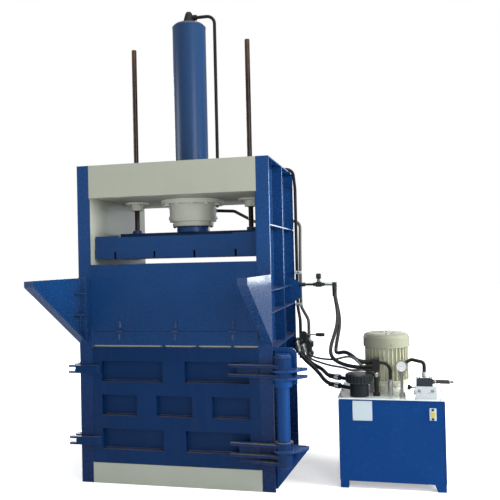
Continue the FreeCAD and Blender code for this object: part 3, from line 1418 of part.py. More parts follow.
def solenoid_valve():
    """Machined block on the lid, with a boxed coil across its top and a pipe union."""
    left = "block_x - block_width / 2"
    block_top = "lid_top + block_height"
    coil_left = f"{left} + solenoid_shift - (solenoid_width - block_width) / 2"
    pieces = [
        box("valve_base", (left, f"{left} + block_width"),
            ("block_y - block_depth / 2", "block_y + block_depth / 2"), ("lid_top", block_top)),
    ]
    keep("valve_base_block", fuse("valve_base_block", pieces + [
        rod("gauge_line_union", "17", "80", x="block_x - 5", y="block_y + 42", z=block_top)]))
    coil = box("coil_case", (coil_left, f"{coil_left} + solenoid_width"),
               ("block_y - block_depth / 2", "block_y - block_depth / 2 + solenoid_depth"),
               (block_top, f"{block_top} + solenoid_height"))
    glands = []
    for index, offset in enumerate(("8", "72")):
        glands.append(rod(f"cable_gland_{index}", "8", "14", x=f"{coil_left} + solenoid_width",
                          y=f"block_y - block_depth / 2 + {offset}",
                          z=f"{block_top} + 26", axis="x"))
    keep("solenoid_valve", fuse("solenoid_valve", [coil] + glands))


# ---------------------------------------------------------------- hoses
def power_pack_pipes():
    """Short bent pipes on the lid: manifold to lid, and gauge line to the valve block."""
    lid = size("lid_top")
    mx, my = size("manifold_x + manifold_width / 2"), size("manifold_y")
    level = size("manifold_low + 54")
    tube("pressure_pipe", [(mx, my, level), (mx + 70, my, level), (mx + 70, my, lid)], 11, 56)
    gx, gy, gz = size("gauge_x"), size("gauge_y + gauge_depth / 2"), size("gauge_z")
    bx, by = size("block_x - 5"), size("block_y + 42")
    tube("gauge_pipe", [(gx, gy, gz), (gx, gy + 36, gz), (gx + 66, gy + 52, gz + 36),
                        (bx, by, gz + 24), (bx, by, lid + 165)], 12, 24)


def hoses():
    """Rubber hoses between the valves and the power pack, and the looped coil cable."""
    tube("hanging_hose", [(1035, 382, 1309), (1035, 382, 1262), (1052, 350, 1184), (1064, 300, 1104),
                          (1062, 232, 1030), (1044, 148, 958), (1028, 62, 896), (1034, -22, 846),
                          (1074, -102, 816), (1136, -172, 802), (1200, -232, 797), (1260, -255, 796),
                          (1318, -255, 796)], 13.5)
    tube("loop_hose", [(1035, 420, 1309), (1035, 420, 1262), (1052, 390, 1184), (1072, 340, 1106),
                       (1080, 276, 1034), (1073, 196, 966), (1065, 112, 902), (1067, 30, 858),
                       (1096, -50, 862), (1146, -124, 884), (1198, -196, 872), (1250, -255, 834),
                       (1318, -255, 834)], 13.5)
    tube("return_hose_left", [(750.03, 289.96, 855.31), (760.5, 276, 825), (782, 250, 794), (818, 206, 768),
                              (862, 148, 746), (908, 84, 722), (950, 20, 694), (986, -36, 664),
                              (1027.3, -82.2, 646), (1074.8, -122.1, 646)], 14)
    tube("return_hose_right", [(798.03, 289.96, 829.31), (808.2, 276.4, 800), (827, 252, 771),
                               (861, 212, 748), (908, 152, 734), (948, 88, 728), (980, 26, 718),
                               (1003, -34, 710), (1027.3, -82.2, 705), (1074.8, -122.1, 705)], 14)
    tube("feed_hose_upper", [(834, 320, 806), (834, 284, 806), (860, 236, 799), (898, 178, 795),
                             (944, 118, 796), (998, 58, 800), (1052, -4, 808), (1102, -76, 828),
                             (1148, -164, 852), (1194, -240, 868), (1238, -283, 848), (1272, -283, 808),
                             (1318, -283, 808)], 7.5)
    tube("feed_hose_lower", [(834, 320, 778), (834, 284, 778), (874, 236, 766), (930, 168, 760),
                             (986, 98, 757), (1042, 24, 757), (1096, -52, 764), (1148, -128, 768),
                             (1190, -230, 769), (1264, -283, 784), (1318, -283, 784)], 7.5)
    tube("coil_cable", cable_loop(), 3.5)


def cable_loop():
    """A flat loop of cable between the two glands of the coil."""
    coil_right = size("block_x - block_width / 2 + solenoid_shift + (solenoid_width + block_width) / 2")
    here = Vector(coil_right + 14, size("block_y - block_depth / 2 + 8"), size("lid_top + block_height + 26"))
    points, heading = [here, here + Vector(97, 0, 0)], 0
    for turn in (36, 36, 36, 36):
        heading += turn
        way = Vector(math.cos(math.radians(heading)), math.sin(math.radians(heading)), 0)
        points.append(points[-1] + way * 20.79)
    points.append(points[0] + Vector(0, 64, 0))
    return [tuple(point) for point in points]


BUILDERS = [base_frame, chamber_floor, side_frames, liners, rear_ribs, head_beam, front_crossbeam, wings,
            feed_flap, flap_hinge_pins, main_door, hinge_arms, hinge_lugs, hinge_shaft, lock_clevises,
            lock_pins, swing_bolts, door_lock_lugs, cylinder, guides, ram, platen, pressure_lines,
            needle_valve, directional_valve, tank, motor, return_filter, manifold, gauge, solenoid_valve,
            power_pack_pipes, hoses]

for build in BUILDERS:
    build()
doc.recompute()

for item in doc.Objects:
    if "Invalid" in item.State or "Error" in item.State:
        raise RuntimeError(f"{item.Name} did not build")
for node, item in parts.items():
    if item.Shape.isNull() or not item.Shape.isValid():
        raise RuntimeError(f"{node} has no valid shape")
    item.Shape.exportStep(f"parts/{node}.step")
print(f"{len(parts)} sub-parts written")
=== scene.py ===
"""Finishes, hoses, fittings and trim for a vertical baling press and its power pack."""

import json
import math

import bmesh
import bpy
import numpy as np
from mathutils import Matrix, Vector


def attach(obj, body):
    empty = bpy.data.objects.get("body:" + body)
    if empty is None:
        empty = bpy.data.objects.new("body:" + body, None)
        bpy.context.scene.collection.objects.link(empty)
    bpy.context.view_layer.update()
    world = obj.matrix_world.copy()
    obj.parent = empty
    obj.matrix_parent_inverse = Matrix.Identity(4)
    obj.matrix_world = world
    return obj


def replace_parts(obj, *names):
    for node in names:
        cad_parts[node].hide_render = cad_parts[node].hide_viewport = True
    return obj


bl_info = {
    "name": "Baling press dressing",
    "version": (1, 0, 0),
    "blender": (4, 5, 0),
    "location": "View3D > Sidebar > Baling press",
    "description": "Dresses a baling press with paint, hoses, fittings, welds and trim",
    "category": "Object",
}

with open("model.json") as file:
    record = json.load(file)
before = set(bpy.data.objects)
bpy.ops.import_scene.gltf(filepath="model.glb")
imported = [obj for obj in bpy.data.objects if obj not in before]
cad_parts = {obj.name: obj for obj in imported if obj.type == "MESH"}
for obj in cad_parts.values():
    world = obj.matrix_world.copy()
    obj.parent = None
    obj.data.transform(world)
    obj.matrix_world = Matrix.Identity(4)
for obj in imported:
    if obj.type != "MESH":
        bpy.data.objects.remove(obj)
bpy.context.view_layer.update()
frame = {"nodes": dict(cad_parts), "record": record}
MM = 0.001


# ------------------------------------------------------------------ settings
def colour_setting(name, words, default):
    """A colour."""
    return bpy.props.FloatVectorProperty(
        name=name, description=words, subtype="COLOR", size=3, min=0, max=1, default=default)


def length_setting(name, words, default):
    """A length in metres."""
    return bpy.props.FloatProperty(
        name=name, description=words, subtype="DISTANCE", unit="LENGTH", min=0, default=default)


def share_setting(name, words, default):
    """A share from 0 to 1."""
    return bpy.props.FloatProperty(
        name=name, description=words, subtype="FACTOR", min=0, max=1, default=default)


def angle_setting(name, words, degrees):
    """An angle, given in degrees."""
    return bpy.props.FloatProperty(
        name=name, description=words, subtype="ANGLE", default=math.radians(degrees))


class PressPaint(bpy.types.PropertyGroup):
    """Paint colours, and how the paint has aged."""
    tower: colour_setting("Tower", "Blue of the tower, flap, wings and platen", (0.0060, 0.0450, 0.1560))
    door: colour_setting("Door", "Blue of the main door and its hinge arms", (0.0022, 0.0240, 0.0930))
    chamber: colour_setting("Chamber", "Beige of the head and the chamber", (0.375, 0.395, 0.330))
    # The gland's paler beige is partly a paler paint and partly painted light where the head shades it.
    gland: colour_setting("Gland", "Paler beige of the cylinder's flange and gland", (0.78, 0.80, 0.71))
    hinge: colour_setting("Hinge", "Blue of the hinge shaft and its lugs", (0.0035, 0.0440, 0.1750))
    cylinder: colour_setting("Cylinder", "Blue of the press cylinder", (0.012, 0.043, 0.118))
    tank: colour_setting("Tank", "Blue of the oil tank", (0.0014, 0.0400, 0.1740))
    # The lid's pale paint stands partly for the bright reflections of its sheet: a painted reflection.
    lid: colour_setting("Tank lid", "Pale paint of the tank's lid", (0.62, 0.68, 0.68))
    motor: colour_setting("Motor", "Paint of the motor", (0.43, 0.445, 0.33))
    dust: colour_setting("Dust", "Brownish dust on ledges", (0.30, 0.24, 0.17))
    dust_amount: share_setting("Dust amount", "How much dust lies on the ledges", 0.30)
    # Where the edge colour is lighter than the paint, the edge wear also paints a highlight on the edges.
    wear: share_setting("Edge wear", "How far the paint is rubbed at its edges", 0.12)


class PressSteel(bpy.types.PropertyGroup):
    """Colours of bare metal, black paint and rubber."""
    chrome: colour_setting("Chrome", "Hard chrome of the ram rod", (0.60, 0.61, 0.62))
    rod: colour_setting("Rods", "Oiled steel of the guide rods", (0.070, 0.058, 0.054))
    rust: colour_setting("Rust", "Rust on bright steel", (0.19, 0.080, 0.032))
    plated: colour_setting("Plated", "Zinc plated fittings", (0.62, 0.62, 0.58))
    black: colour_setting("Black", "Black paint on pipes and valves", (0.014, 0.014, 0.015))
    rubber: colour_setting("Rubber", "Hose rubber", (0.011, 0.011, 0.012))


class PressTrim(bpy.types.PropertyGroup):
    """Sizes of the small forms that repeat."""
    weld: length_setting("Weld leg", "Height of the weld beads", 0.005)
    ferrule: length_setting("Ferrule", "Length of the crimped sleeve on a hose end", 0.046)


class PressView(bpy.types.PropertyGroup):
    """Where the camera stands and which way it looks."""
    place: bpy.props.FloatVectorProperty(
        name="Camera", description="Where the camera stands", subtype="TRANSLATION", unit="LENGTH",
        default=(1.526, -4.789, 1.550))
    yaw: angle_setting("Yaw", "Turn to the left of straight ahead", 12.73)
    pitch: angle_setting("Pitch", "Tilt upwards", 0.89)
    roll: angle_setting("Roll", "Turn about the line of sight", -1.31)
    lens: bpy.props.FloatProperty(
        name="Lens", description="Focal length for a frame 36 mm wide", subtype="DISTANCE_CAMERA",
        default=46.8)


# ------------------------------------------------------------------ nodes
def add(tree, kind, sockets=None, **settings):
    """One shader node, with its settings, and its sockets set or linked."""
    node = tree.nodes.new(kind)
    for key, value in settings.items():
        setattr(node, key, value)
    for key, value in (sockets or {}).items():
        socket = node.inputs[key]
        if isinstance(value, bpy.types.NodeSocket):
            tree.links.new(value, socket)
        else:
            socket.default_value = value
    return node


def maths(tree, operation, *values, clamp=False):
    """The result of one operation on values or sockets."""
    return add(tree, "ShaderNodeMath", dict(enumerate(values)),
               operation=operation, use_clamp=clamp).outputs[0]


def times(tree, first, second):
    """One value multiplied by another."""
    return maths(tree, "MULTIPLY", first, second)


def plus(tree, first, second, clamp=False):
    """Two values added, held between 0 and 1 when clamp is set."""
    return maths(tree, "ADD", first, second, clamp=clamp)


def mixed(tree, factor, first, second, blend="MIX"):
    """Two colours blended by a factor."""
    return add(tree, "ShaderNodeMix", {0: factor, 6: first, 7: second},
               data_type="RGBA", blend_type=blend).outputs[2]


def ranged(tree, value, low, high, to_low=0.0, to_high=1.0):
    """A value taken from one range to another, and held at its ends."""
    return add(tree, "ShaderNodeMapRange", {"Value": value, "From Min": low, "From Max": high,
                                            "To Min": to_low, "To Max": to_high}).outputs[0]


def clouds(tree, place, scale, detail=4.0, rough=0.55):
    """Cloudy noise, with its scale in repeats per metre."""
    return add(tree, "ShaderNodeTexNoise", {"Vector": place, "Scale": scale, "Detail": detail,
                                            "Roughness": rough}).outputs["Fac"]


def upward(tree, vector):
    """The part of a vector along Z."""
    return add(tree, "ShaderNodeSeparateXYZ", {0: vector}).outputs[2]


def new_group(name, colours, values, results):
    """An empty node group that is given colours and values. It returns a colour and the named results."""
    group = bpy.data.node_groups.new(name, "ShaderNodeTree")
    colour, value = "NodeSocketColor", "NodeSocketFloat"
    for way, kind, sockets in (("INPUT", colour, colours), ("INPUT", value, values),
                               ("OUTPUT", colour, ["Colour"]), ("OUTPUT", value, results)):
        for socket in sockets:
            group.interface.new_socket(name=socket, in_out=way, socket_type=kind)
    return group, group.nodes.new("NodeGroupInput").outputs, group.nodes.new("NodeGroupOutput").inputs


def finish_group(group, sinks, **results):
    """The group with its results linked."""
    for name, socket in results.items():
        group.links.new(socket, sinks[name])
    return group


# What a colour is multiplied by where it is clouded, darkened by painted shade toward the floor, or
# tarnished.
CLOUD_TONE, FLOOR_SHADE_TONE, TARNISH_TONE = (0.55, 0.56, 0.60, 1), (0.17, 0.33, 0.44, 1), (0.50, 0.47, 0.42, 1)


def weathering_group():
    """Shop paint after years of use: cloudy tone, painted shade that darkens it toward the floor, drip
    streaks, dust where faces look up, a tint where they look down, and rubbed edges, which are also a
    painted highlight where the edge colour is lighter than the paint."""
    group, given, sinks = new_group(
        "shop_paint", ["Colour", "Dust colour", "Edge colour"],
        ["Cloud amount", "Streak amount", "Dust amount", "Edge amount", "Under amount", "Floor shade amount",
         "Roughness", "Grain"], ["Roughness", "Height"])
    place = add(group, "ShaderNodeTexCoord").outputs["Object"]
    shape = add(group, "ShaderNodeNewGeometry").outputs
    # Cloudy tone, from broad noise.
    broad = clouds(group, place, 1.7, 5.0)
    cloud = ranged(group, broad, 0.32, 0.68)
    shade = times(group, cloud, given["Cloud amount"])
    darker = mixed(group, 1.0, given["Colour"], CLOUD_TONE, "MULTIPLY")
    base = mixed(group, shade, given["Colour"], darker)
    # Painted shade that darkens the colour toward the floor, from none at 1.7 m over the floor to all of it
    # at 0.3 m.
    level = upward(group, place)
    low = times(group, ranged(group, level, 1.7, 0.3), given["Floor shade amount"])
    base = mixed(group, low, base, mixed(group, 1.0, base, FLOOR_SHADE_TONE, "MULTIPLY"))
    # Drip streaks, from noise drawn out along Z.
    tall = add(group, "ShaderNodeMapping", {"Vector": place, "Scale": (16.0, 16.0, 0.8)}).outputs[0]
    streak = ranged(group, clouds(group, tall, 1.6, 6.0, 0.6), 0.54, 0.78)
    run = mixed(group, 0.12, darker, given["Dust colour"])
    base = mixed(group, times(group, streak, given["Streak amount"]), base, run)
    # Dust by how far a face looks up, broken by fine noise, and the tint under faces that look down.
    fine = clouds(group, place, 38.0, 6.0, 0.65)
    up = upward(group, shape["Normal"])
    lying = times(group, ranged(group, up, 0.35, 0.95), ranged(group, fine, 0.25, 0.7, 0.45, 1.0))
    dust = times(group, lying, given["Dust amount"])
    base = mixed(group, dust, base, given["Dust colour"])
    under = times(group, ranged(group, up, -0.6, -0.95), given["Under amount"])
    base = mixed(group, under, base, given["Dust colour"])
    # Rubbed paint where the rounded normal leaves the true one; where the edge colour is lighter than the
    # paint, this is also a painted highlight on the edges.
    rounded = add(group, "ShaderNodeBevel", {"Radius": 0.007}, samples=4).outputs[0]
    turn = add(group, "ShaderNodeVectorMath", {0: rounded, 1: shape["True Normal"]},
               operation="DOT_PRODUCT").outputs["Value"]
    rubbed_and_lit_edge = ranged(group, turn, 0.97, 0.80)
    rubbed_and_lit_edge = times(group, rubbed_and_lit_edge, ranged(group, clouds(group, place, 9.0, 5.0, 0.7), 0.38, 0.62))
    rubbed_and_lit_edge = times(group, rubbed_and_lit_edge, given["Edge amount"])
    base = mixed(group, rubbed_and_lit_edge, base, given["Edge colour"])
    # Dust is duller than paint; orange peel and the broad noise make the height.
    rough = plus(group, given["Roughness"], times(group, dust, 0.35))
    rough = plus(group, rough, ranged(group, fine, 0.3, 0.7, -0.04, 0.06), clamp=True)
    peel = times(group, clouds(group, place, 260.0, 2.0), given["Grain"])
    height = plus(group, peel, times(group, broad, 0.35))
    return finish_group(group, sinks, Colour=base, Roughness=rough, Height=height)


def metal_group():
    """Bare or plated steel: fine turning marks square to Z, clouds of tarnish, spots of rust, and more rust
    above a height."""
    group, given, sinks = new_group(
        "bare_metal", ["Colour", "Rust colour"], ["Tarnish", "Rust", "Rust from", "Roughness", "Brushing"],
        ["Roughness", "Metallic", "Height"])
    place = add(group, "ShaderNodeTexCoord").outputs["Object"]
    level = upward(group, place)
    # Clouds of tarnish.
    cloud = ranged(group, clouds(group, place, 7.0, 6.0, 0.65), 0.35, 0.7)
    dull = mixed(group, 1.0, given["Colour"], TARNISH_TONE, "MULTIPLY")
    base = mixed(group, times(group, cloud, given["Tarnish"]), given["Colour"], dull)
    # Rust: everywhere in small spots, and in patches from 0.25 m below the given height to 0.35 m above it.
    high = ranged(group, maths(group, "SUBTRACT", level, given["Rust from"]), -0.25, 0.35)
    spots = ranged(group, clouds(group, place, 26.0, 8.0, 0.72), 0.50, 0.62)
    rust = times(group, spots, given["Rust"])
    rust = plus(group, rust, times(group, high, ranged(
        group, clouds(group, place, 14.0, 6.0, 0.7), 0.3, 0.6, 0.35, 0.95)), clamp=True)
    base = mixed(group, rust, base, given["Rust colour"])
    rough = plus(group, given["Roughness"], times(group, rust, 0.45))
    rough = plus(group, rough, times(group, cloud, 0.10), clamp=True)
    shine = maths(group, "SUBTRACT", 1.0, times(group, rust, 0.9))
    # Turning marks, from noise pressed flat along Z.
    ring = add(group, "ShaderNodeMapping", {"Vector": place, "Scale": (3.0, 3.0, 420.0)}).outputs[0]
    brushed = times(group, clouds(group, ring, 1.0, 3.0), given["Brushing"])
    height = plus(group, brushed, rust)
    return finish_group(group, sinks, Colour=base, Roughness=rough, Metallic=shine, Height=height)


def rubber_group():
    """Hose rubber: a fine texture, and grey scuffs that are stronger on the upper side."""
    group, given, sinks = new_group(
        "hose_rubber_skin", ["Colour", "Scuff colour"], ["Scuff", "Roughness"], ["Roughness", "Height"])
    place = add(group, "ShaderNodeTexCoord").outputs["Object"]
    shape = add(group, "ShaderNodeNewGeometry").outputs
    up = upward(group, shape["Normal"])
    patch = ranged(group, clouds(group, place, 16.0, 6.0, 0.7), 0.42, 0.66)
    scuff = times(group, patch, given["Scuff"])
    scuff = times(group, scuff, ranged(group, up, -0.4, 0.9, 0.35, 1.0))
    base = mixed(group, scuff, given["Colour"], given["Scuff colour"])
    wrap = clouds(group, place, 340.0, 2.0)
    rough = plus(group, given["Roughness"], times(group, scuff, 0.3), clamp=True)
    return finish_group(group, sinks, Colour=base, Roughness=rough, Height=wrap)


# Node groups, by the function that builds them.
GROUPS = {}


def shared(build):
    """A node group that is built once and shared by every material that asks for it."""
    if build not in GROUPS:
        GROUPS[build] = build()
    return GROUPS[build]


def rgba(colour):
    """A colour with full alpha."""
    return (*tuple(colour)[:3], 1.0)


def blank(name):
    """A new material, its nodes and its shader."""
    material = bpy.data.materials.new(name)
    material.use_nodes = True
    tree = material.node_tree
    return material, tree, tree.nodes["Principled BSDF"]


def grouped(name, build, values, strength, distance):
    """A material whose look comes from a shared node group, and its shader. The strength of the bump is a
    share, and its distance is in metres."""
    material, tree, shader = blank(name)
    results = add(tree, "ShaderNodeGroup", values, node_tree=shared(build)).outputs
    for result in results.keys():
        if result != "Height":
            tree.links.new(results[result], shader.inputs["Base Color" if result == "Colour" else result])
    bump = add(tree, "ShaderNodeBump", {"Strength": strength, "Distance": distance,
                                        "Height": results["Height"]})
    tree.links.new(bump.outputs[0], shader.inputs["Normal"])
    return material, shader


# low is the share of painted shade that darkens the paint toward the floor.
def painted(name, colour, rough=0.34, cloud=0.30, streak=0.16, dust=None, edge=None, grain=0.6, coat=0.0,
            edge_colour=(0.30, 0.30, 0.30), gloss=0.30, under=0.0, low=0.0, peel=0.25):
    """A paint finish in one colour, from the shop paint group."""
    paint = bpy.context.scene.press_paint
    material, shader = grouped(name, weathering_group, {
        "Colour": rgba(colour), "Dust colour": rgba(paint.dust), "Edge colour": rgba(edge_colour),
        "Cloud amount": cloud, "Streak amount": streak,
        "Dust amount": paint.dust_amount if dust is None else dust,
        "Edge amount": paint.wear if edge is None else edge, "Under amount": under, "Floor shade amount": low,
        "Roughness": rough, "Grain": grain}, peel, 0.0006)
    shader.inputs["Specular IOR Level"].default_value = gloss
    shader.inputs["Coat Weight"].default_value = coat
    shader.inputs["Coat Roughness"].default_value = 0.12
    return material


def steel(name, colour, rough=0.3, tarnish=0.3, rust=0.1, rust_from=50.0, brushing=1.0):
    """A bare metal finish, from the bare metal group. Rust grows above the height rust_from, in metres."""
    return grouped(name, metal_group, {
        "Colour": rgba(colour), "Rust colour": rgba(bpy.context.scene.press_steel.rust), "Tarnish": tarnish,
        "Rust": rust, "Rust from": rust_from, "Roughness": rough, "Brushing": brushing}, 0.12, 0.0004)[0]


def rubbery(name, colour, scuff=0.5, rough=0.48, scuff_colour=(0.12, 0.12, 0.115)):
    """A rubber finish, from the hose rubber group."""
    return grouped(name, rubber_group, {
        "Colour": rgba(colour), "Scuff colour": rgba(scuff_colour), "Scuff": scuff,
        "Roughness": rough}, 0.3, 0.0005)[0]


def glassy(name, colour=(0.9, 0.95, 0.95), alpha=0.25):
    """Clear glass that lets what lies behind it show."""
    material, tree, shader = blank(name)
    shader.inputs["Base Color"].default_value = rgba(colour)
    shader.inputs["Roughness"].default_value = 0.05
    shader.inputs["Alpha"].default_value = alpha
    shader.inputs["IOR"].default_value = 1.46
    return material


def build_finishes():
    """Every finish by name: the material slots of the parts, and the tones that single nodes have."""
    paint, metal = bpy.context.scene.press_paint, bpy.context.scene.press_steel
    # The side frames' paint is a lit copy of the tower's, a little lighter than the rest of the tower:
    # painted light on their sides.
    side_frame = [1.15 * channel for channel in paint.tower]
    # In these calls, low sets how much painted shade darkens each paint toward the floor.
    return {
        "tower_blue": painted("tower_paint", paint.tower, 0.28, 0.40, 0.12, dust=0.20, gloss=0.28, low=0.35),
        "frame_lit_blue": painted("frame_lit_paint", side_frame, 0.26, 0.40, 0.15, dust=0.20, edge=0.08,
                              gloss=0.34, low=1.0, edge_colour=(0.12, 0.18, 0.28)),
        "wing_blue": painted("wing_paint", paint.tower, 0.26, 0.40, 0.15, dust=0.20, gloss=0.90, coat=0.60),
        "trim_blue": painted("trim_paint", paint.tower, 0.30, 0.40, 0.20, dust=0.10, edge=0.0,
                             gloss=0.20, low=0.75),
        # The ram collars' brighter blue is painted light where the gland above shades them.
        "collar_lit_blue": painted("collar_lit_paint", (0.025, 0.120, 0.400), 0.30, 0.30, 0.20, gloss=0.4),
        "platen_blue": painted("platen_paint", paint.tower, 0.30, 0.40, 0.25, under=0.75),
        "door_blue": painted("door_paint", paint.door, 0.30, 0.50, 0.20, dust=0.28, gloss=0.16,
                             edge_colour=(0.05, 0.08, 0.15)),
        "seam_blue": painted("seam_paint", paint.door, 0.34, 0.30, 0.10, dust=0.55, edge=0.0, gloss=0.10),
        "arm_blue": painted("arm_paint", paint.door, 0.32, 0.50, 0.40, dust=0.70, edge=0.55, gloss=0.25,
                            edge_colour=(0.17, 0.11, 0.09)),
        "hinge_blue": painted("hinge_paint", paint.hinge, 0.22, 0.40, 0.20, dust=0.10, coat=0.05, gloss=0.25,
                              peel=0.6),
        # The hinge leaves' bars have light edges: a painted highlight.
        "leaf_painted_highlight": painted("leaf_highlight_paint", paint.tower, 0.30, 0.10, 0.10, dust=0.10, edge=0.9,
                             gloss=0.6, edge_colour=(0.22, 0.28, 0.38)),
        "chamber_beige": painted("chamber_paint", paint.chamber, 0.38, 0.14, 0.08, edge=0.20,
                                 gloss=0.4, low=0.17, edge_colour=(0.30, 0.26, 0.20)),
        # The gland's paler beige is partly a paler paint and partly painted light where the head shades it.
        "gland_lit_beige": painted("gland_lit_paint", paint.gland, 0.38, 0.14, 0.16, edge=0.20, gloss=0.4,
                               edge_colour=(0.30, 0.26, 0.20)),
        "cylinder_blue": painted("cylinder_paint", paint.cylinder, 0.30, 0.30, 0.20, coat=0.04, gloss=0.30),
        "tank_blue": painted("tank_paint", paint.tank, 0.24, 0.30, 0.14, gloss=0.12),
        # The lid's pale paint stands partly for the bright reflections of its sheet: a painted reflection.
        "lid_grey": painted("lid_reflection_sheet", paint.lid, 0.14, 0.12, 0.10, dust=0.0, edge=0.0, coat=0.5,
                            gloss=1.0),
        "block_pale": painted("valve_block_sheet", (0.46, 0.51, 0.53), 0.25, 0.15, 0.10, dust=0.0,
                              gloss=0.8),
        # The bell housing's paler paint is partly its own pale tone and partly painted light: the lid's
        # reflection, and light where it sits in shade.
        "bell_lit_paint": painted("bell_lit_paint", (0.56, 0.58, 0.50), 0.34, 0.20, 0.10, edge=0.2, gloss=0.5),
        # The fan cowl's darker copy of the motor's paint is painted shade.
        "cowl_shaded_paint": painted("cowl_shaded_paint", (0.242, 0.251, 0.187), 0.36, 0.20, 0.20, edge=0.2, gloss=0.4,
                              edge_colour=(0.22, 0.22, 0.18)),
        "pipe_grey": painted("grey_pipe", (0.085, 0.083, 0.076), 0.42, 0.30, 0.10, dust=0.05, edge=0.1,
                             gloss=0.3),
        "motor_paint": painted("motor_paint", paint.motor, 0.40, 0.22, 0.22, edge=0.2, gloss=0.4,
                               edge_colour=(0.22, 0.22, 0.18)),
        "valve_dark": painted("valve_paint", (0.020, 0.026, 0.028), 0.34, 0.35, 0.10, dust=0.20),
        "coil_case": painted("coil_case_paint", (0.022, 0.030, 0.040), 0.34, 0.25, 0.10, dust=0.08),
        "filter_black": painted("filter_paint", (0.009, 0.013, 0.016), 0.30, 0.30, 0.05, dust=0.05,
                                edge=0.1),
        "line_black": painted("pipe_paint", metal.black, 0.46, 0.30, 0.05, dust=0.12, edge=0.1, gloss=0.18),
        "bright_steel": steel("bright_steel", (0.60, 0.60, 0.58), 0.26, 0.30, 0.05),
        "plated_steel": steel("plated_steel", metal.plated, 0.26, 0.25, 0.04),
        "hard_chrome": steel("hard_chrome", metal.chrome, 0.10, 0.10, 0.0, brushing=0.3),
        "oiled_steel": steel("oiled_steel", metal.rod, 0.32, 0.45, 0.10, rust_from=3.15),
        "gauge_case": steel("gauge_case", (0.50, 0.50, 0.48), 0.26, 0.2, 0.02),
        "hose_rubber": rubbery("hose_rubber", metal.rubber, 0.30, 0.42),
        "hose_grey": rubbery("hose_grey", (0.060, 0.072, 0.064), 0.7, 0.45, (0.17, 0.20, 0.17)),
        "knob_black": rubbery("knob_plastic", (0.012, 0.012, 0.013), 0.15, 0.32),
        "pointer_black": painted("pointer_paint", (0.012, 0.012, 0.012), 0.5, 0.0, 0.0, 0.0, 0.0),
        "plate_white": painted("bare_plate", (0.44, 0.52, 0.57), 0.30, 0.12, 0.06, dust=0.05, edge=0.2,
                               gloss=0.5),
        "slot_pale": painted("slot_strip_paint", (0.62, 0.66, 0.60), 0.45, 0.20, 0.10, dust=0.0, edge=0.0),
        "level_yellow": painted("level_window", (0.50, 0.42, 0.05), 0.18, 0.20, 0.05, 0.0, 0.0, coat=0.4),
        "dial_white": painted("dial_face", (0.52, 0.54, 0.53), 0.45, 0.08, 0.0, 0.0, 0.0, grain=0.1),
        "glass": glassy("gauge_glass"),
    }


# Finishes by name, filled by the first step.
FINISH = {}
# Nodes whose finish differs in tone from the rest of their slot.
OWN_FINISH = {
    "platen": "platen_blue", "ram_collars": "collar_lit_blue", "hinge_shaft": "hinge_blue",
    "hinge_lugs": "hinge_blue", "upper_hinge_arm": "arm_blue", "lower_hinge_arm": "arm_blue",
    "left_side_frame": "frame_lit_blue", "right_side_frame": "frame_lit_blue",
    "left_wing": "wing_blue", "right_wing": "wing_blue",
    "gland_housing": "gland_lit_beige", "gland_ring": "gland_lit_beige", "guide_bushes": "gland_lit_beige",
    "gland_pipe": "pipe_grey", "valve_base_block": "block_pale", "fan_cowl": "cowl_shaded_paint",
    "bell_housing": "bell_lit_paint", "needle_valve": "valve_dark", "solenoid_valve": "coil_case",
}


# ------------------------------------------------------------------ surfaces
# Directions, and the axes that fittings are set about, in millimetres.
UP, DOWN, BACK, FRONT, RIGHT, LEFT = (0, 0, 1), (0, 0, -1), (0, 1, 0), (0, -1, 0), (1, 0, 0), (-1, 0, 0)
MOTOR = (1435, -70)
HINGE = (765, -520)
KNOB = (912, 382)
GAUGE = (1536, 809)
GUIDE_RODS = (-458, 458)
SHARP_ANGLE = math.radians(38)


def spot(*values):
    """Places or sizes given in millimetres, in metres."""
    return np.array(values, float) * MM


def around(count):
    """Angles spread evenly round a circle."""
    return np.linspace(0, 2 * np.pi, count, endpoint=False)


def circle(count, radius, centre, level, start):
    """Places spread evenly round an upright axis, from a start angle in degrees."""
    angles = np.radians(start + 360 / count * np.arange(count))
    return [(centre[0] + radius * math.cos(a), centre[1] + radius * math.sin(a), level) for a in angles]


def mesh_of(name, points, faces):
    """One mesh object in the scene, from its points in metres and its faces."""
    mesh = bpy.data.meshes.new(name)
    mesh.from_pydata(np.asarray(points, float).tolist(), [], faces)
    mesh.validate()
    piece = bpy.data.objects.new(name, mesh)
    bpy.context.scene.collection.objects.link(piece)
    return piece


def quads(rows, columns):
    """Faces of a grid of rows by columns of points, joined round the columns."""
    row, column = np.meshgrid(np.arange(rows - 1), np.arange(columns), indexing="ij")
    below, above, after = row * columns, (row + 1) * columns, (column + 1) % columns
    corners = (below + column, below + after, above + after, above + column)
    return np.stack([corner.ravel() for corner in corners], axis=1)


def capped(rows, columns):
    """Faces of a grid joined round its columns, with a flat face on its first and on its last row."""
    last = (rows - 1) * columns
    return quads(rows, columns).tolist() + [list(range(columns))[::-1], list(range(last, last + columns))]


def closed(shape, rows):
    """A turned shape whose profile is a loop: its two flat ends give way to faces that join them."""
    points, faces = shape
    columns = len(points) // rows
    column, last = np.arange(columns), (rows - 1) * columns
    after = (column + 1) % columns
    return points, faces[:-2] + np.stack([last + column, last + after, after, column], axis=1).tolist()


def frames_along(axis):
    """An axis of length one, and two unit vectors square to it and to each other."""
    axis = np.asarray(axis, float) / np.linalg.norm(axis)
    aside = np.array([0.0, 0.0, 1.0]) if abs(axis[2]) < 0.9 else np.array([1.0, 0.0, 0.0])
    across = np.cross(aside, axis)
    across /= np.linalg.norm(across)
    return axis, across, np.cross(axis, across)


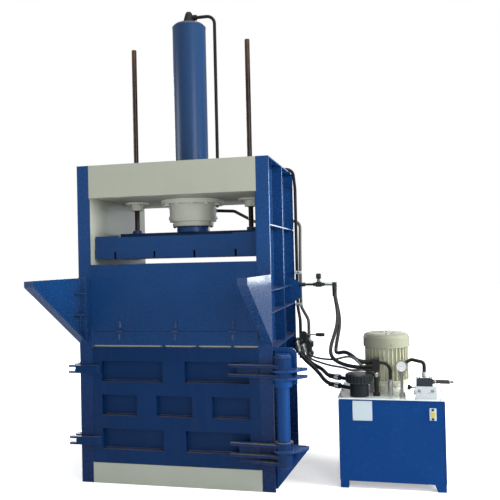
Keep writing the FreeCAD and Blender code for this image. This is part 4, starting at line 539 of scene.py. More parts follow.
def lathe(profile, foot, axis=UP, sides=32):
    """A turned shape: point(s, a) = foot + axis * h(s) + r(s) * (across * cos a + along * sin a), where the
    profile lists r and h in millimetres."""
    axis, across, along = frames_along(axis)
    radius, height = spot(*profile).T
    angle = around(sides)
    ring = np.cos(angle)[:, None] * across + np.sin(angle)[:, None] * along
    grid = spot(*foot) + height[:, None, None] * axis + radius[:, None, None] * ring[None]
    return grid.reshape(-1, 3), capped(len(radius), sides)


def tube_shape(path, radius, sides=6):
    """A tube: point(s, a) = path(s) + r(s) * (n(s) * cos a + b(s) * sin a), with n and b square to the path.
    Path and radius are in metres."""
    ahead = np.gradient(path, axis=0)
    ahead /= np.linalg.norm(ahead, axis=1)[:, None]
    aside = np.eye(3)[int(np.argmin(np.abs(ahead).max(axis=0)))]
    across = np.cross(aside, ahead)
    across /= np.linalg.norm(across, axis=1)[:, None]
    along = np.cross(ahead, across)
    angle = around(sides)[None, :, None]
    grid = path[:, None] + radius[:, None, None] * (np.cos(angle) * across[:, None]
                                                    + np.sin(angle) * along[:, None])
    return grid.reshape(-1, 3), capped(len(path), sides)


def cushioned(centre, half, power, columns, rows=13):
    """A block with softened edges: x = a * C(u) * C(v), y = b * C(u) * S(v), z = c * S(u), where C and S are
    the cosine and sine raised to a power with their sign kept. Centre and half sizes are in millimetres."""
    def soft(value):
        return np.sign(value) * np.abs(value) ** power
    u = np.linspace(-np.pi / 2, np.pi / 2, rows)[:, None]
    v = np.linspace(-np.pi, np.pi, columns, endpoint=False)[None]
    a, b, c = spot(*half)
    grid = np.stack([a * soft(np.cos(u)) * soft(np.cos(v)), b * soft(np.cos(u)) * soft(np.sin(v)),
                     c * soft(np.sin(u)) * np.ones_like(v)], axis=-1)
    return (grid + spot(*centre)).reshape(-1, 3), capped(rows, columns)


def slab(centre, half, edge):
    """A flat block whose edges are cut back a little: eight corners, each split in three. Its centre, half
    sizes and edge are in millimetres."""
    signs = np.array(np.meshgrid([-1, 1], [-1, 1], [-1, 1], indexing="ij")).reshape(3, -1).T
    points = (signs[:, None, :] * (spot(*half) - edge * MM * (1 - np.eye(3)))[None]).reshape(-1, 3)
    index = {tuple(sign): 3 * row for row, sign in enumerate(signs)}
    faces = []
    for axis in range(3):
        other = [item for item in range(3) if item != axis]
        for side in (-1, 1):
            ring = []
            for first, second in ((-1, -1), (1, -1), (1, 1), (-1, 1)):
                sign = [0, 0, 0]
                sign[axis], sign[other[0]], sign[other[1]] = side, first, second
                ring.append(index[tuple(sign)] + axis)
            faces.append(ring)
        for first in (-1, 1):
            for second in (-1, 1):
                low, high = [0, 0, 0], [0, 0, 0]
                low[axis], high[axis] = -1, 1
                for sign in (low, high):
                    sign[other[0]], sign[other[1]] = first, second
                low, high = index[tuple(low)], index[tuple(high)]
                faces.append([low + other[0], high + other[0], high + other[1], low + other[1]])
    faces += [[start, start + 1, start + 2] for start in index.values()]
    return points + spot(*centre), faces


def bolt_shape(foot, axis, size, height, sides=6):
    """A head of the given half width on a thin washer, with its corners turned off over its upper fifth."""
    washer, corner = size * 1.25, size * 1.12
    thick = size * 0.16
    base = np.asarray(foot, float) + np.asarray(axis, float) * thick
    return [lathe([(washer, 0), (washer, thick)], foot, axis, 16),
            lathe([(corner, 0), (corner, height * 0.8), (size * 0.95, height)], base, axis, sides)]


def heads(places, axis, size, height, sides=6):
    """Bolt heads at several places, all facing one way."""
    return [shape for place in places for shape in bolt_shape(place, axis, size, height, sides)]


def weld_shape(start, end, leg, out):
    """A weld bead: a thin half-buried tube with a point about every 6 mm, at most 160 of them. Its radius at
    point k is leg * (0.85 + 0.15 * sin(2.4 * k)), and its ends are thin."""
    start, end, leg, step = spot(*start), spot(*end), leg * MM, 0.006
    count = max(8, min(160, int(np.linalg.norm(end - start) / step)))
    share = np.linspace(0, 1, count)[:, None]
    path = start + (end - start) * share + np.asarray(out, float) * leg * 0.25
    ripple = leg * (0.85 + 0.15 * np.sin(np.arange(count) * 2.4))
    ripple[[0, -1]] *= 0.4
    return tube_shape(path, ripple)


def beads(lines, leg):
    """Weld beads along lines, each with the way that its ridge faces."""
    return [weld_shape(start, end, leg, out) for start, end, out in lines]


def both_sides(lines):
    """The same lines again, mirrored in X."""
    return lines + [tuple(np.asarray(part, float) * (-1, 1, 1) for part in line) for line in lines]


def weld_ring(centre, radius, leg, up=1):
    """A weld bead round a hub: a low rounded ridge turned about the vertical axis, closed on itself, which
    swells 36 times round."""
    radius, leg, steps, sides = radius * MM, leg * MM, 96, 6
    angle, turn = around(steps), around(sides)
    swell = leg * (0.9 + 0.12 * np.sin(angle * 36))[:, None]
    out = radius + swell * 0.45 * np.cos(turn)
    height = up * leg * 0.2 + swell * 0.45 * np.sin(turn)
    grid = np.stack([out * np.cos(angle)[:, None], out * np.sin(angle)[:, None], height], axis=-1)
    return (grid + spot(*centre)).reshape(-1, 3), (quads(steps + 1, sides) % (steps * sides)).tolist()


def outward(mesh):
    """Turn every face of a closed mesh outwards."""
    work = bmesh.new()
    work.from_mesh(mesh)
    bmesh.ops.recalc_face_normals(work, faces=work.faces)
    work.to_mesh(mesh)
    work.free()


def fit(name, shapes, slot, finish=None, body="press", smooth=True):
    """One piece from several lots of points and faces, with its finish, its shading and the body that it
    moves with."""
    points, faces, start = [], [], 0
    for lot, sides in shapes:
        points.append(lot)
        faces += [[int(index) + start for index in face] for face in sides]
        start += len(lot)
    piece = mesh_of(name, np.concatenate(points), faces)
    outward(piece.data)
    piece.data.materials.append(FINISH[finish or slot])
    if smooth:
        piece.data.shade_smooth()
        piece.data.set_sharp_from_angle(angle=SHARP_ANGLE)
    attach(piece, body)
    return piece


# ------------------------------------------------------------------ hoses
# Radius in millimetres, finish and route of each hose and of the coil's cable. The routes are those of the
# solids. The cable has one more point on each straight run, so that its spline doesn't pinch at the corners.
HOSES = {
    "hanging_hose": (13.5, "hose_rubber", [
        (1035, 382, 1309), (1035, 382, 1262), (1052, 350, 1184), (1064, 300, 1104), (1062, 232, 1030),
        (1044, 148, 958), (1028, 62, 896), (1034, -22, 846), (1074, -102, 816), (1136, -172, 802),
        (1200, -232, 797), (1260, -255, 796), (1318, -255, 796)]),
    "loop_hose": (13.5, "hose_rubber", [
        (1035, 420, 1309), (1035, 420, 1262), (1052, 390, 1184), (1072, 340, 1106), (1080, 276, 1034),
        (1073, 196, 966), (1065, 112, 902), (1067, 30, 858), (1096, -50, 862), (1146, -124, 884),
        (1198, -196, 872), (1250, -255, 834), (1318, -255, 834)]),
    "return_hose_left": (14, "hose_rubber", [
        (750.03, 289.96, 855.31), (760.5, 276, 825), (782, 250, 794), (818, 206, 768), (862, 148, 746),
        (908, 84, 722), (950, 20, 694), (986, -36, 664), (1027.3, -82.2, 646), (1074.8, -122.1, 646)]),
    "return_hose_right": (14, "hose_rubber", [
        (798.03, 289.96, 829.31), (808.2, 276.4, 800), (827, 252, 771), (861, 212, 748), (908, 152, 734),
        (948, 88, 728), (980, 26, 718), (1003, -34, 710), (1027.3, -82.2, 705), (1074.8, -122.1, 705)]),
    "feed_hose_upper": (7.5, "hose_grey", [
        (834, 320, 806), (834, 284, 806), (860, 236, 799), (898, 178, 795), (944, 118, 796), (998, 58, 800),
        (1052, -4, 808), (1102, -76, 828), (1148, -164, 852), (1194, -240, 868), (1238, -283, 848),
        (1272, -283, 808), (1318, -283, 808)]),
    "feed_hose_lower": (7.5, "hose_grey", [
        (834, 320, 778), (834, 284, 778), (874, 236, 766), (930, 168, 760), (986, 98, 757), (1042, 24, 757),
        (1096, -52, 764), (1148, -128, 768), (1190, -230, 769), (1264, -283, 784), (1318, -283, 784)]),
    "coil_cable": (3.5, "hose_rubber", [
        (1748, -337, 716), (1824, -337, 716), (1845, -337, 716), (1861.8, -324.8, 716), (1868.2, -305, 716),
        (1861.8, -285.2, 716), (1845, -273, 716), (1824, -273, 716), (1748, -273, 716)]),
}


def smooth_line(name, points, radius):
    """An open smooth spline through the neighbourhood of its control points, with round section."""
    curve = bpy.data.curves.new(name, "CURVE")
    curve.dimensions = "3D"
    spline = curve.splines.new("NURBS")
    spline.points.add(len(points) - 1)
    for point, place in zip(spline.points, points):
        point.co = (*(value * MM for value in place), 1)
    spline.order_u = 3
    spline.use_endpoint_u = True
    spline.resolution_u = 12
    curve.bevel_depth = radius * MM
    curve.bevel_resolution = 5
    curve.use_fill_caps = True
    piece = bpy.data.objects.new(name, curve)
    bpy.context.scene.collection.objects.link(piece)
    return piece


def lay_hose(node, radius, slot, points):
    """One hose or cable in place of its solid: a cord along the same route, held at both ends."""
    hose = smooth_line(f"{node}_line", points, radius)
    hose.data.materials.append(FINISH[slot])
    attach(hose, "press")
    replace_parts(hose, node)


def ferrule(name, start, beside, radius, length, slot):
    """A crimped sleeve and its hexagonal nut, turned about the hose's end, in millimetres. The crimp is a row
    of six grooves between ridges."""
    ridge, groove, nut_radius = radius * 1.24, radius * 1.14, radius * 1.42
    start = np.asarray(start, float)
    way = np.asarray(beside, float) - start
    way /= np.linalg.norm(way)
    crimp = [(radius * 1.02, 0)]
    for step in np.linspace(0.08, 0.92, 6):
        crimp += [(ridge, (step - 0.05) * length), (groove, step * length)]
    crimp += [(radius * 1.26, 0.96 * length), (radius * 1.05, length)]
    nut = [(radius * 1.20, 0), (nut_radius, 2), (nut_radius, 13), (radius * 1.20, 15)]
    fit(name, [lathe(crimp, start + way * 14, way, 28), lathe(nut, start, way, 6)], slot)


# ------------------------------------------------------------------ operators
class PRESS_OT_finishes(bpy.types.Operator):
    """Give every solid of the press its paint, metal or rubber"""
    bl_idname = "press.finishes"
    bl_label = "Finishes"

    def execute(self, context):
        FINISH.update(build_finishes())
        slots = {entry["node"]: entry["material_slot"] for entry in frame["record"]["subparts"]}
        for node, piece in frame["nodes"].items():
            piece.data.materials.clear()
            piece.data.materials.append(FINISH[OWN_FINISH.get(node, slots[node])])
        return {"FINISHED"}


class PRESS_OT_hoses(bpy.types.Operator):
    """Lay the hoses and the coil's cable, and crimp a sleeve on each hose end"""
    bl_idname = "press.hoses"
    bl_label = "Hoses"

    def execute(self, context):
        for node, (radius, slot, points) in HOSES.items():
            lay_hose(node, radius, slot, points)
            if node == "coil_cable":
                continue
            thin, wide = radius < 10, radius >= 14
            length = context.scene.press_trim.ferrule / MM * (0.5 if thin else 1.0)
            ferrule(f"{node}_start_ferrule", points[0], points[1], radius, length,
                    "plated_steel" if wide else "line_black")
            ferrule(f"{node}_end_ferrule", points[-1], points[-2], radius, length, "line_black")
        return {"FINISHED"}


class PRESS_OT_welds(bpy.types.Operator):
    """Run weld beads along the joints, and paint the liners' edges and the strip in the door's slot"""
    bl_idname = "press.welds"
    bl_label = "Welds"

    def execute(self, context):
        leg = context.scene.press_trim.weld / MM
        # Side frames: stiffeners and the corners between sheet and webs, each with the way its weld faces.
        sheet, rim, top, stiffeners = 620, 698, 2238, (1790, 1345, 1196, 946)
        corners = ((-507, 1), (-7, -1), (7, 1), (507, -1))
        lines = []
        for level in stiffeners:
            for near, far in ((-507, -7), (7, 507)):
                lines += [((sheet, near, z), (sheet, far, z), (1, 0, out))
                          for z, out in ((level, 1), (level - 8, -1))]
            lines += [((sheet + 2, y, level), (rim, y, level), (0, out, 1)) for y, out in corners]
        lines += [((sheet, y, 4), (sheet, y, top), (1, out, 0)) for y, out in corners]
        fit("frame_welds", beads(both_sides(lines), leg), "tower_blue")
        edges = [slab((x, -520.3, 1079), (4.2, 0.5, 934), 0.3) for x in (-607, 607)]
        fit("liner_edge_paint", edges, "tower_blue", "trim_blue")
        fit("slot_strip", [slab((0, -490.5, 964.5), (600, 1.5, 6.5), 0.4)], "chamber_beige", "slot_pale")
        # Wings, and the ends of the crossbeam.
        wing = [((640, -521, 1060), (699, -521, 1060), (0, -1, 0)),
                ((691, -529, 1012), (691, -529, 1448), (-1, -1, 0)),
                ((641, -522, 1450), (699, -522, 1450), (0, -1, 1)),
                ((604, -520, 974), (604, -520, 1065), (-1, -1, 0))]
        fit("wing_welds", beads(both_sides(wing), leg), "tower_blue")
        # Hinge lugs: upright and level seams, and a ring round each hub.
        lugs = [((702, y, low), (702, y, high), (1, out, 0))
                for low, high in ((712, 948), (6, 272)) for y, out in ((-431, 1), (-445, -1))]
        lugs += [((704, -431, level), (end, -431, level), (0, 1, 1))
                 for level, end in ((290, 900), (768, 840), (817, 840))]
        hubs = [weld_ring((*HINGE, level), 60, leg, up) for level, up in ((756, -1), (290, 1))]
        fit("hinge_lug_welds", beads(lugs, leg) + hubs, "tower_blue")
        for name, levels in (("upper", (769, 785, 834, 850)), ("lower", (212, 238, 254, 310, 326))):
            arms = [((466, -529, z), (596, -529, z), (0, -1, 1)) for z in levels]
            arms += [((604, -527, z), (690, -524, z), (0, -1, 1)) for z in levels]
            fit(f"{name}_arm_welds", beads(arms, leg), "door_blue", body="door")
        # Door recesses: three rows, the middle one in three bays and the others in two.
        floor, inset, rise = -476, 2, 144
        halves, thirds = ((-537, -80), (80, 537)), ((-537, -274), (-131, 131), (274, 537))
        seams = []
        for row, bays in ((239.5, halves), (477.5, thirds), (715.5, halves)):
            low, high = row + inset, row + rise
            for left, right in bays:
                left, right = left + inset, right - inset
                seams += [((left, floor, low), (right, floor, low), (0, -1, 1)),
                          ((left, floor, high), (right, floor, high), (0, -1, -1)),
                          ((left, floor, low), (left, floor, high), (1, -1, 0)),
                          ((right, floor, low), (right, floor, high), (-1, -1, 0))]
        fit("door_recess_welds", beads(seams, leg * 0.9), "door_blue", "seam_blue", "door")
        flap = [((x, -521, 1112), (x, -521, 1538), (out, -1, 0)) for x, out in ((-601, 1), (601, -1))]
        fit("flap_edge_welds", beads(flap, leg * 0.6), "tower_blue", "trim_blue", "flap")
        tank = [((x, y, 52), (x, y, 593), (x_out, y_out, 0))
                for x, x_out in ((1115.6, -1), (1804.4, 1)) for y, y_out in ((-349.4, -1), (209.4, 1))]
        fit("tank_corner_welds", beads(tank, leg * 0.7), "tank_blue")
        return {"FINISHED"}


class PRESS_OT_bolts(bpy.types.Operator):
    """Seat the cylinder's bolts, the flap hinge's bars and screws, and the lid's and motor's screws"""
    bl_idname = "press.bolts"
    bl_label = "Bolts and screws"

    def execute(self, context):
        flange = heads(circle(12, 215, (0, 0), 1987, 15), DOWN, 15, 13)
        gland = heads(circle(10, 141, (0, 0), 1817, 18), DOWN, 9, 7.2)
        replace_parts(fit("flange_bolts", flange, "chamber_beige", "gland_lit_beige"), "cylinder_bolts")
        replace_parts(fit("gland_bolts", gland, "chamber_beige", "tower_blue"), "cylinder_bolts")
        # The flap's three hinges: each leaf has four screws and a bar whose light edges are a painted
        # highlight.
        for leaf, body, levels, shift, middle, half in (("flap", "flap", (1100, 1136), 3, 1118, 23),
                                                        ("beam", "press", (1022, 1044), -3, 1032, 19)):
            hinges = (-390, 20, 430)
            screws = [(x + aside, -525, z) for x in hinges for aside in (-10, 10) for z in levels]
            bars = [slab((x + shift, -526, middle), (4.4, 1.4, half), 0.8) for x in hinges]
            fit(f"{leaf}_leaf_screws", heads(screws, FRONT, 4, 2.4, 16), "tower_blue", body=body)
            fit(f"{leaf}_leaf_highlight_bars", bars, "tower_blue", "leaf_painted_highlight", body)
        lid = [(x, y, 605) for x in (1140, 1300, 1460, 1620, 1780) for y in (-342, 202)]
        lid += [(x, y, 605) for x in (1122, 1798) for y in (-230, -70, 90)]
        fit("lid_screws", heads(lid, UP, 6, 5), "plated_steel")
        fit("bell_bolts", heads(circle(4, 134, MOTOR, 619, 45), UP, 7, 7), "plated_steel")
        ways = circle(4, 1, (0, 0), 0, -75)
        cowl = zip(circle(4, 159, MOTOR, 945, -75), ways)
        fit("cowl_screws", [shape for place, way in cowl for shape in bolt_shape(place, way, 5, 3, 16)],
            "plated_steel")
        box = [(x, 144, z) for x in (1388, 1482) for z in (761, 840)]
        nut = [(13, 0), (15, 2), (15, 12), (11, 14), (11, 26), (7, 30)]
        fit("terminal_cover", [slab((MOTOR[0], 141.5, 800.5), (54, 2.5, 46.5), 1)], "motor_paint")
        fit("terminal_screws", heads(box, BACK, 4, 3, 16), "plated_steel")
        fit("terminal_gland", [lathe(nut, (1490, 105, 790), RIGHT, 24)], "knob_black")
        return {"FINISHED"}


class PRESS_OT_pack_trim(bpy.types.Operator):
    """Fit the tank's level gauge and plate, the pressure gauge's face and the small lid fittings"""
    bl_idname = "press.pack_trim"
    bl_label = "Power pack trim"

    def execute(self, context):
        # Plates: centre, half sizes and cut edge.
        for name, centre, half, edge, slot, finish in (
                ("tank_plate", (1272, -350.9, 521), (65, 0.9, 66), 0.6, "tank_blue", "plate_white"),
                ("level_gauge_frame", (1729, -355, 510), (22, 5, 40), 1.2, "tank_blue", "plate_white"),
                ("level_gauge_window", (1729, -360.8, 510), (13, 1.4, 15), 0.8, "tank_blue", "level_yellow"),
                ("coil_plate", (1682, -305, 744), (40, 30, 2), 1, "valve_dark", "plated_steel")):
            fit(name, [slab(centre, half, edge)], slot, finish)
        rivets = [(x, -351.8, z) for x in (1213, 1331) for z in (461, 581)]
        level = [(1729, -360, z) for z in (480, 540)]
        coil = [(x, y, 746) for x in (1650, 1714) for y in (-327, -283)]
        fit("tank_plate_rivets", heads(rivets, FRONT, 2.6, 1.2, 16), "tank_blue", "plated_steel")
        fit("level_gauge_bolts", heads(level, FRONT, 7, 6), "tank_blue", "valve_dark")
        fit("coil_screws", heads(coil, UP, 3.6, 3.4), "valve_dark", "plated_steel")
        plugs = heads([(1620.5, y, 640) for y in (-318, -262)], LEFT, 10, 9)
        plugs += heads([(x, -345, 660) for x in (1648, 1732)], FRONT, 8, 6)
        fit("valve_base_plugs", plugs, "bright_steel")
        # Turned fittings: profile, foot, axis and number of sides.
        barrel = [(14 * math.sin(a) + 8, -22 * math.cos(a)) for a in np.linspace(0.15, 3.0, 14)]
        across, height = GAUGE
        for name, profile, foot, axis, sides, slot, finish in (
                ("drain_plug", [(20, 0), (20, 10), (12, 10), (12, 18)], (1805, 130, 78), RIGHT, 6,
                 "plated_steel", None),
                ("gauge_dial", [(34.4, 0), (34.4, 0.3)], (across, -272, height), FRONT, 48,
                 "gauge_case", "dial_white"),
                ("gauge_glass", [(35, 0), (35, 0.8)], (across, -276.2, height), FRONT, 48,
                 "gauge_case", "glass"),
                ("relief_knob", [(10, 0), (10, 8), (17, 9), (18, 22), (13, 28), (0, 29)],
                 (1600, -262, 668), LEFT, 24, "knob_black", None),
                ("relief_stem", [(6, 0), (6, 24)], (1620.5, -262, 668), LEFT, 20, "plated_steel", None),
                ("breather_cap", [(12, 0), (12, 18), (30, 20), (34, 26), (34, 52), (30, 58), (0, 60)],
                 (1190, 120, 605), UP, 40, "filter_black", None),
                ("riser_ball", barrel, (1366, -255, 752), UP, 32, "plated_steel", None)):
            fit(name, [lathe(profile, foot, axis, sides)], slot, finish)
        fitting = [lathe([(20, 0), (20, 20)], (1460, -255, 605), UP, 6),
                   lathe([(16, 0), (16, 75), (13.5, 82)], (1460, -255, 625), UP, 28),
                   lathe([(18, 0), (18, 18)], (1460, -255, 700), UP, 6)]
        fit("pressure_pipe_fitting", fitting, "plated_steel")
        rim = [(35.2, 0), (35.2, 2.2), (38.5, 2.2), (39.5, 0.4), (39.5, -4), (39.1, -4)]
        fit("gauge_bezel", [closed(lathe(rim, (across, -277, height), FRONT, 48), len(rim))], "gauge_case")
        # Graduation: 21 marks over 270 degrees, every fifth one longer and wider.
        marks = []
        for index, angle in enumerate(np.radians(np.linspace(-45, 225, 21))):
            inner, outer, wide = (28.2, 33, 0.7) if index % 5 == 0 else (30.2, 33, 0.4)
            way = np.array([math.cos(angle), 0, math.sin(angle)])
            points, faces = slab((0, 0, 0), ((outer - inner) / 2, 0.06, wide), 0.04)
            points = points @ np.array([way, BACK, (-way[2], 0, way[0])])
            marks.append((points + spot(across, -272.35, height) + way * (inner + outer) / 2 * MM, faces))
        fit("gauge_marks", marks, "gauge_case", "pointer_black", smooth=False)
        return {"FINISHED"}


def fluted(profile, foot, flutes=24, depth=0.035, columns=144):
    """A knob whose part wider than 16 mm is fluted: r(s, a) = r(s) * (1 + d * (cos(n * a) - 1)), with n
    flutes of depth d."""
    angle = around(columns)
    radius, height = np.array(profile, float).T
    wide = radius > 16
    reach = radius[:, None] * (1 + np.where(wide, depth, 0)[:, None] * (np.cos(flutes * angle) - 1)[None])
    grid = np.stack([foot[0] + reach * np.cos(angle), foot[1] + reach * np.sin(angle),
                     np.broadcast_to((foot[2] + height)[:, None], reach.shape)], axis=-1) * MM
    return grid.reshape(-1, 3), capped(len(profile), columns)


class PRESS_OT_valve_trim(bpy.types.Operator):
    """Add the valves' elbows, sleeves, screws, grip and knob, the pipe clamps and the rod seals"""
    bl_idname = "press.valve_trim"
    bl_label = "Valve and line trim"

    def execute(self, context):
        # Directional valve: its two return ports bend down and forward into the hoses.
        neck = [(15, 0), (15, 16), (17.8, 18), (17.8, 29.5)]
        sleeve = [(17.6, 0), (17.6, 26), (20.5, 28), (20.5, 40.2)]
        elbows = []
        for port in ((738, 306, 890), (786, 306, 864)):
            elbows += [lathe(neck, port, BACK, 28), lathe(sleeve, port, (0.3, -0.4, -0.866), 28),
                       cushioned(port, (18.5, 18.5, 18.5), 1.0, 24)]
        fit("valve_elbow_sleeves", elbows, "valve_dark", "plated_steel")
        screws = heads([(x, 336, z) for x in (735, 772, 809) for z in (815, 905)], FRONT, 4.4, 5)
        fit("valve_screws", screws + heads([(856, 382, 802)], RIGHT, 9, 6), "plated_steel")
        rings = [lathe([(24.5, 0), (26.2, 1.5), (26.2, 6.5), (24.5, 8)], (844, 382, 872), RIGHT, 36),
                 lathe([(20.5, 0), (21.8, 1.5), (21.8, 5.5), (20.5, 7)], (844, 382, 800), RIGHT, 36)]
        fit("valve_cover_rings", rings, "valve_dark")
        grip = [(7, 0), (13.4, 4), (14, 14), (15.2, 36), (14.8, 56), (13.4, 66.8), (8.5, 70), (0, 70.8)]
        fit("lever_grip", [lathe(grip, (879, 382, 945), RIGHT)], "bright_steel", "knob_black", "lever")
        # Sleeves and nuts on the lines, and the weld of the cylinder's cap.
        sleeves = [lathe([(9.4, 0), (11.2, 2), (11.2, 58), (9.4, 60)], (961.5, 382, 1345), RIGHT, 28),
                   lathe([(11.4, 0), (13.2, 2), (13.2, 18), (11.4, 20)], (*KNOB, 1366), UP, 28)]
        fit("needle_valve_sleeves", sleeves, "plated_steel")
        way = np.array([-math.cos(math.radians(40)), math.sin(math.radians(40)), 0])
        nut = [(20.4, 0), (22.8, 3), (22.8, 40), (20.4, 43.5)]
        nuts = [lathe(nut, (1251, -270, level) + way * 185.2, way, 6) for level in (646, 705)]
        fit("filter_union_nuts", nuts, "plated_steel", "block_pale")
        cuff = [(3.8, 0), (7.2, 1), (7.2, 83), (3.8, 85)]
        cuffs = [lathe(cuff, (1757, y, 716), RIGHT, 24) for y in (-337, -273)]
        fit("coil_cable_sleeves", cuffs, "hose_rubber")
        fit("cylinder_cap_weld", [weld_ring((0, 0, 3352), 128, 6)], "cylinder_blue")
        # The needle valve's knob and its cap.
        knob = [(3, 0), (17, 0), (19.6, 2.5), (20, 8), (20, 34), (18.6, 38.5), (15, 40), (2, 40)]
        cap = lathe([(11, 0), (11, 1.2), (9.5, 2)], (*KNOB, 1429.5))
        turned = fit("fluted_knob", [fluted(knob, (*KNOB, 1389.5))], "knob_black", body="knob")
        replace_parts(turned, "needle_knob")
        fit("knob_top_cap", [cap], "knob_black", "plated_steel", "knob")
        # Clamp blocks that hold the two pipes to the rear of the right frame.
        clamps, bolts = [], []
        for level in (1178, 1440):
            clamps.append(cushioned((735, 509, level), (31, 15.5, 13), 0.18, 32))
            bolts += heads([(735, 524.4, level)], BACK, 6, 5) + heads([(735, 493.6, level)], FRONT, 6, 5)
        fit("pipe_clamps", clamps, "bright_steel", "plate_white")
        fit("pipe_clamp_bolts", bolts, "bright_steel", "plated_steel")
        # Seals of the ram rod and the two guide rods, and the bolts of the guide bushes.
        ram = [(70.3, 0), (70.3, 6), (74.5, 6), (78.5, 1), (78.5, 0)]
        guide = [(19.3, 0), (19.3, 5), (22.5, 5), (29, 1), (29, 0)]
        seals = [lathe(ram, (0, 0, 1817), DOWN, 64)]
        seals += [lathe(guide, (x, 0, 1955), DOWN, 48) for x in GUIDE_RODS]
        fit("rod_seals", [closed(seal, len(ram)) for seal in seals], "chamber_beige", "knob_black")
        bush = [place for x in GUIDE_RODS for place in circle(4, 78, (x, 0), 2003, 45)]
        fit("bush_bolts", heads(bush, DOWN, 8, 7), "chamber_beige")
        return {"FINISHED"}


# Each light's place, the point it is turned to, its width, its power, its tint and the rays that miss it.
LIGHTS = {
    "key_light": ((4.6, -5.0, 3.2), (0.3, 0, 1.2), 3.2, 105, (1.0, 0.99, 0.97), ()),
    "side_light": ((5.0, -0.7, 2.6), (0.6, 0, 1.5), 2.4, 370, (1.0, 1.0, 1.0), ("glossy", "camera")),
    "front_light": ((0.2, -5.0, 0.5), (0.05, 0, 2.0), 1.6, 45, (1.0, 1.0, 1.0), ("glossy", "camera")),
    "fill_light": ((-4.4, -0.8, 2.9), (0.0, 0, 2.0), 2.6, 60, (0.95, 0.97, 1.0), ()),
    "back_light": ((-3.6, 5.6, 3.2), (0.2, 0, 1.2), 3.2, 150, (1.0, 1.0, 1.0), ()),
    "top_light": ((0.6, -1.2, 6.2), (0.4, 0, 0), 4.0, 90, (1.0, 1.0, 1.0), ()),
    "streak_light": ((2.0, 5.0, 2.1), (0.7, 0, 1.6), 1.8, 34, (0.85, 0.94, 1.0), ("diffuse", "camera")),
}


def lay_floor():
    """A disc of pale paper, which glows to the camera: point(r, a) = (r cos a + 0.5, r sin a, 0)."""
    angle = around(96)
    rings = np.array([0.0005, 3.0, 9.0, 30.0])[:, None]
    grid = np.stack([rings * np.cos(angle) + 0.5, rings * np.sin(angle), np.zeros((4, 96))], axis=-1)
    inmost = [list(range(96))]
    floor = mesh_of("studio_floor", grid.reshape(-1, 3), quads(4, 96).tolist() + inmost)
    material, tree, shader = blank("studio_paper")
    ray = add(tree, "ShaderNodeLightPath").outputs
    # Glossy rays see the paper at 0.30 instead of 0.86: painted shade in its reflections on the press.
    tree.links.new(mixed(tree, ray["Is Glossy Ray"], (0.86, 0.86, 0.86, 1), (0.30, 0.30, 0.30, 1)),
                   shader.inputs["Base Color"])
    # The glow grows from 0.40 within 2 m of the middle to 1 beyond 5.5 m, where the floor meets the air.
    away = add(tree, "ShaderNodeVectorMath", {0: add(tree, "ShaderNodeTexCoord").outputs["Object"]},
               operation="LENGTH").outputs["Value"]
    glow = times(tree, ray["Is Camera Ray"], ranged(tree, away, 2.0, 5.5, 0.40, 1.0))
    tree.links.new(glow, shader.inputs["Emission Strength"])
    shader.inputs["Emission Color"].default_value = (1, 1, 1, 1)
    shader.inputs["Roughness"].default_value = 0.9
    floor.data.materials.append(material)


def fill_air(scene):
    """White air that lights the press at 0.45 and that the camera sees at 1."""
    world = bpy.data.worlds.new("studio_air")
    world.use_nodes = True
    tree = world.node_tree
    air = tree.nodes["Background"].inputs
    air[0].default_value = (1.0, 1.0, 1.0, 1)
    looked_at = add(tree, "ShaderNodeLightPath").outputs["Is Camera Ray"]
    tree.links.new(ranged(tree, looked_at, 0.0, 1.0, 0.45, 1.0), air[1])
    scene.world = world


def set_camera(scene, view):
    """The camera, turned to the left by the yaw, then up by the pitch, then about its sight by the roll."""
    def swung(first, second, angle):
        return (first * math.cos(angle) + second * math.sin(angle),
                second * math.cos(angle) - first * math.sin(angle))
    right, ahead = swung(np.array([1.0, 0, 0]), np.array([0, 1.0, 0]), view.yaw)
    ahead, up = swung(ahead, np.array([0.0, 0.0, 1.0]), view.pitch)
    right, up = swung(right, up, view.roll)
    turn = Matrix([list(row) for row in np.stack([right, up, -ahead], axis=1)])
    camera = bpy.data.objects.new("press_camera", bpy.data.cameras.new("press_camera"))
    camera.data.sensor_width = 36
    camera.data.lens = view.lens
    camera.matrix_world = Matrix.Translation(view.place) @ turn.to_4x4()
    scene.collection.objects.link(camera)
    scene.camera = camera


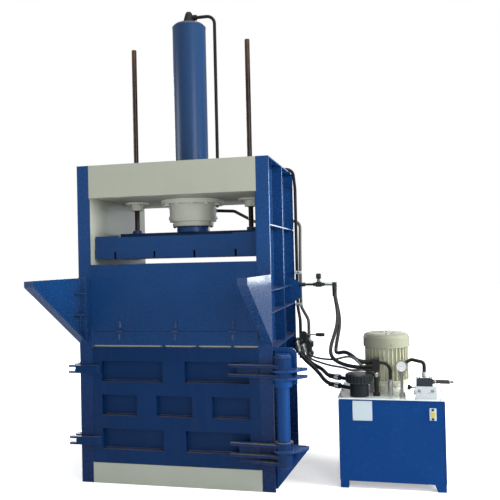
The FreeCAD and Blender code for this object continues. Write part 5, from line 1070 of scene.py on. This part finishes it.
class PRESS_OT_stage(bpy.types.Operator):
    """Set the pale floor, the soft lights and the camera"""
    bl_idname = "press.stage"
    bl_label = "Stage"

    def execute(self, context):
        scene = context.scene
        lay_floor()
        fill_air(scene)
        for name, (place, target, size, power, tint, missed) in LIGHTS.items():
            light = bpy.data.lights.new(name, "AREA")
            light.shape, light.size, light.energy, light.color = "DISK", size, power, tint
            lamp = bpy.data.objects.new(name, light)
            lamp.location = place
            lamp.rotation_euler = (Vector(target) - Vector(place)).to_track_quat("-Z", "Y").to_euler()
            for ray in missed:
                setattr(lamp, f"visible_{ray}", False)
            scene.collection.objects.link(lamp)
        set_camera(scene, scene.press_view)
        scene.view_settings.view_transform = "Standard"
        return {"FINISHED"}


class PRESS_PT_panel(bpy.types.Panel):
    """Buttons for the steps of the dressing"""
    bl_label = "Baling press"
    bl_space_type = "VIEW_3D"
    bl_region_type = "UI"
    bl_category = "Baling press"

    def draw(self, context):
        for step in STEPS:
            self.layout.operator(step.bl_idname)
        for settings in (context.scene.press_paint, context.scene.press_steel,
                         context.scene.press_trim, context.scene.press_view):
            box = self.layout.box()
            for name in settings.bl_rna.properties.keys():
                if name not in ("rna_type", "name"):
                    box.prop(settings, name)


STEPS = [PRESS_OT_finishes, PRESS_OT_hoses, PRESS_OT_welds, PRESS_OT_bolts, PRESS_OT_pack_trim,
         PRESS_OT_valve_trim, PRESS_OT_stage]
SETTINGS = {"press_paint": PressPaint, "press_steel": PressSteel, "press_trim": PressTrim,
            "press_view": PressView}


def register():
    """Add the settings, the steps and the panel to Blender."""
    for group in SETTINGS.values():
        bpy.utils.register_class(group)
    for name, group in SETTINGS.items():
        setattr(bpy.types.Scene, name, bpy.props.PointerProperty(type=group))
    for step in STEPS + [PRESS_PT_panel]:
        bpy.utils.register_class(step)


def unregister():
    """Take the panel, the steps and the settings out again."""
    for step in reversed(STEPS + [PRESS_PT_panel]):
        bpy.utils.unregister_class(step)
    for name in SETTINGS:
        delattr(bpy.types.Scene, name)
    for group in SETTINGS.values():
        bpy.utils.unregister_class(group)


def dress_press():
    """Run every step in order."""
    register()
    for step in STEPS:
        domain, name = step.bl_idname.split(".")
        getattr(getattr(bpy.ops, domain), name)()


if __name__ == "__main__":
    dress_press()
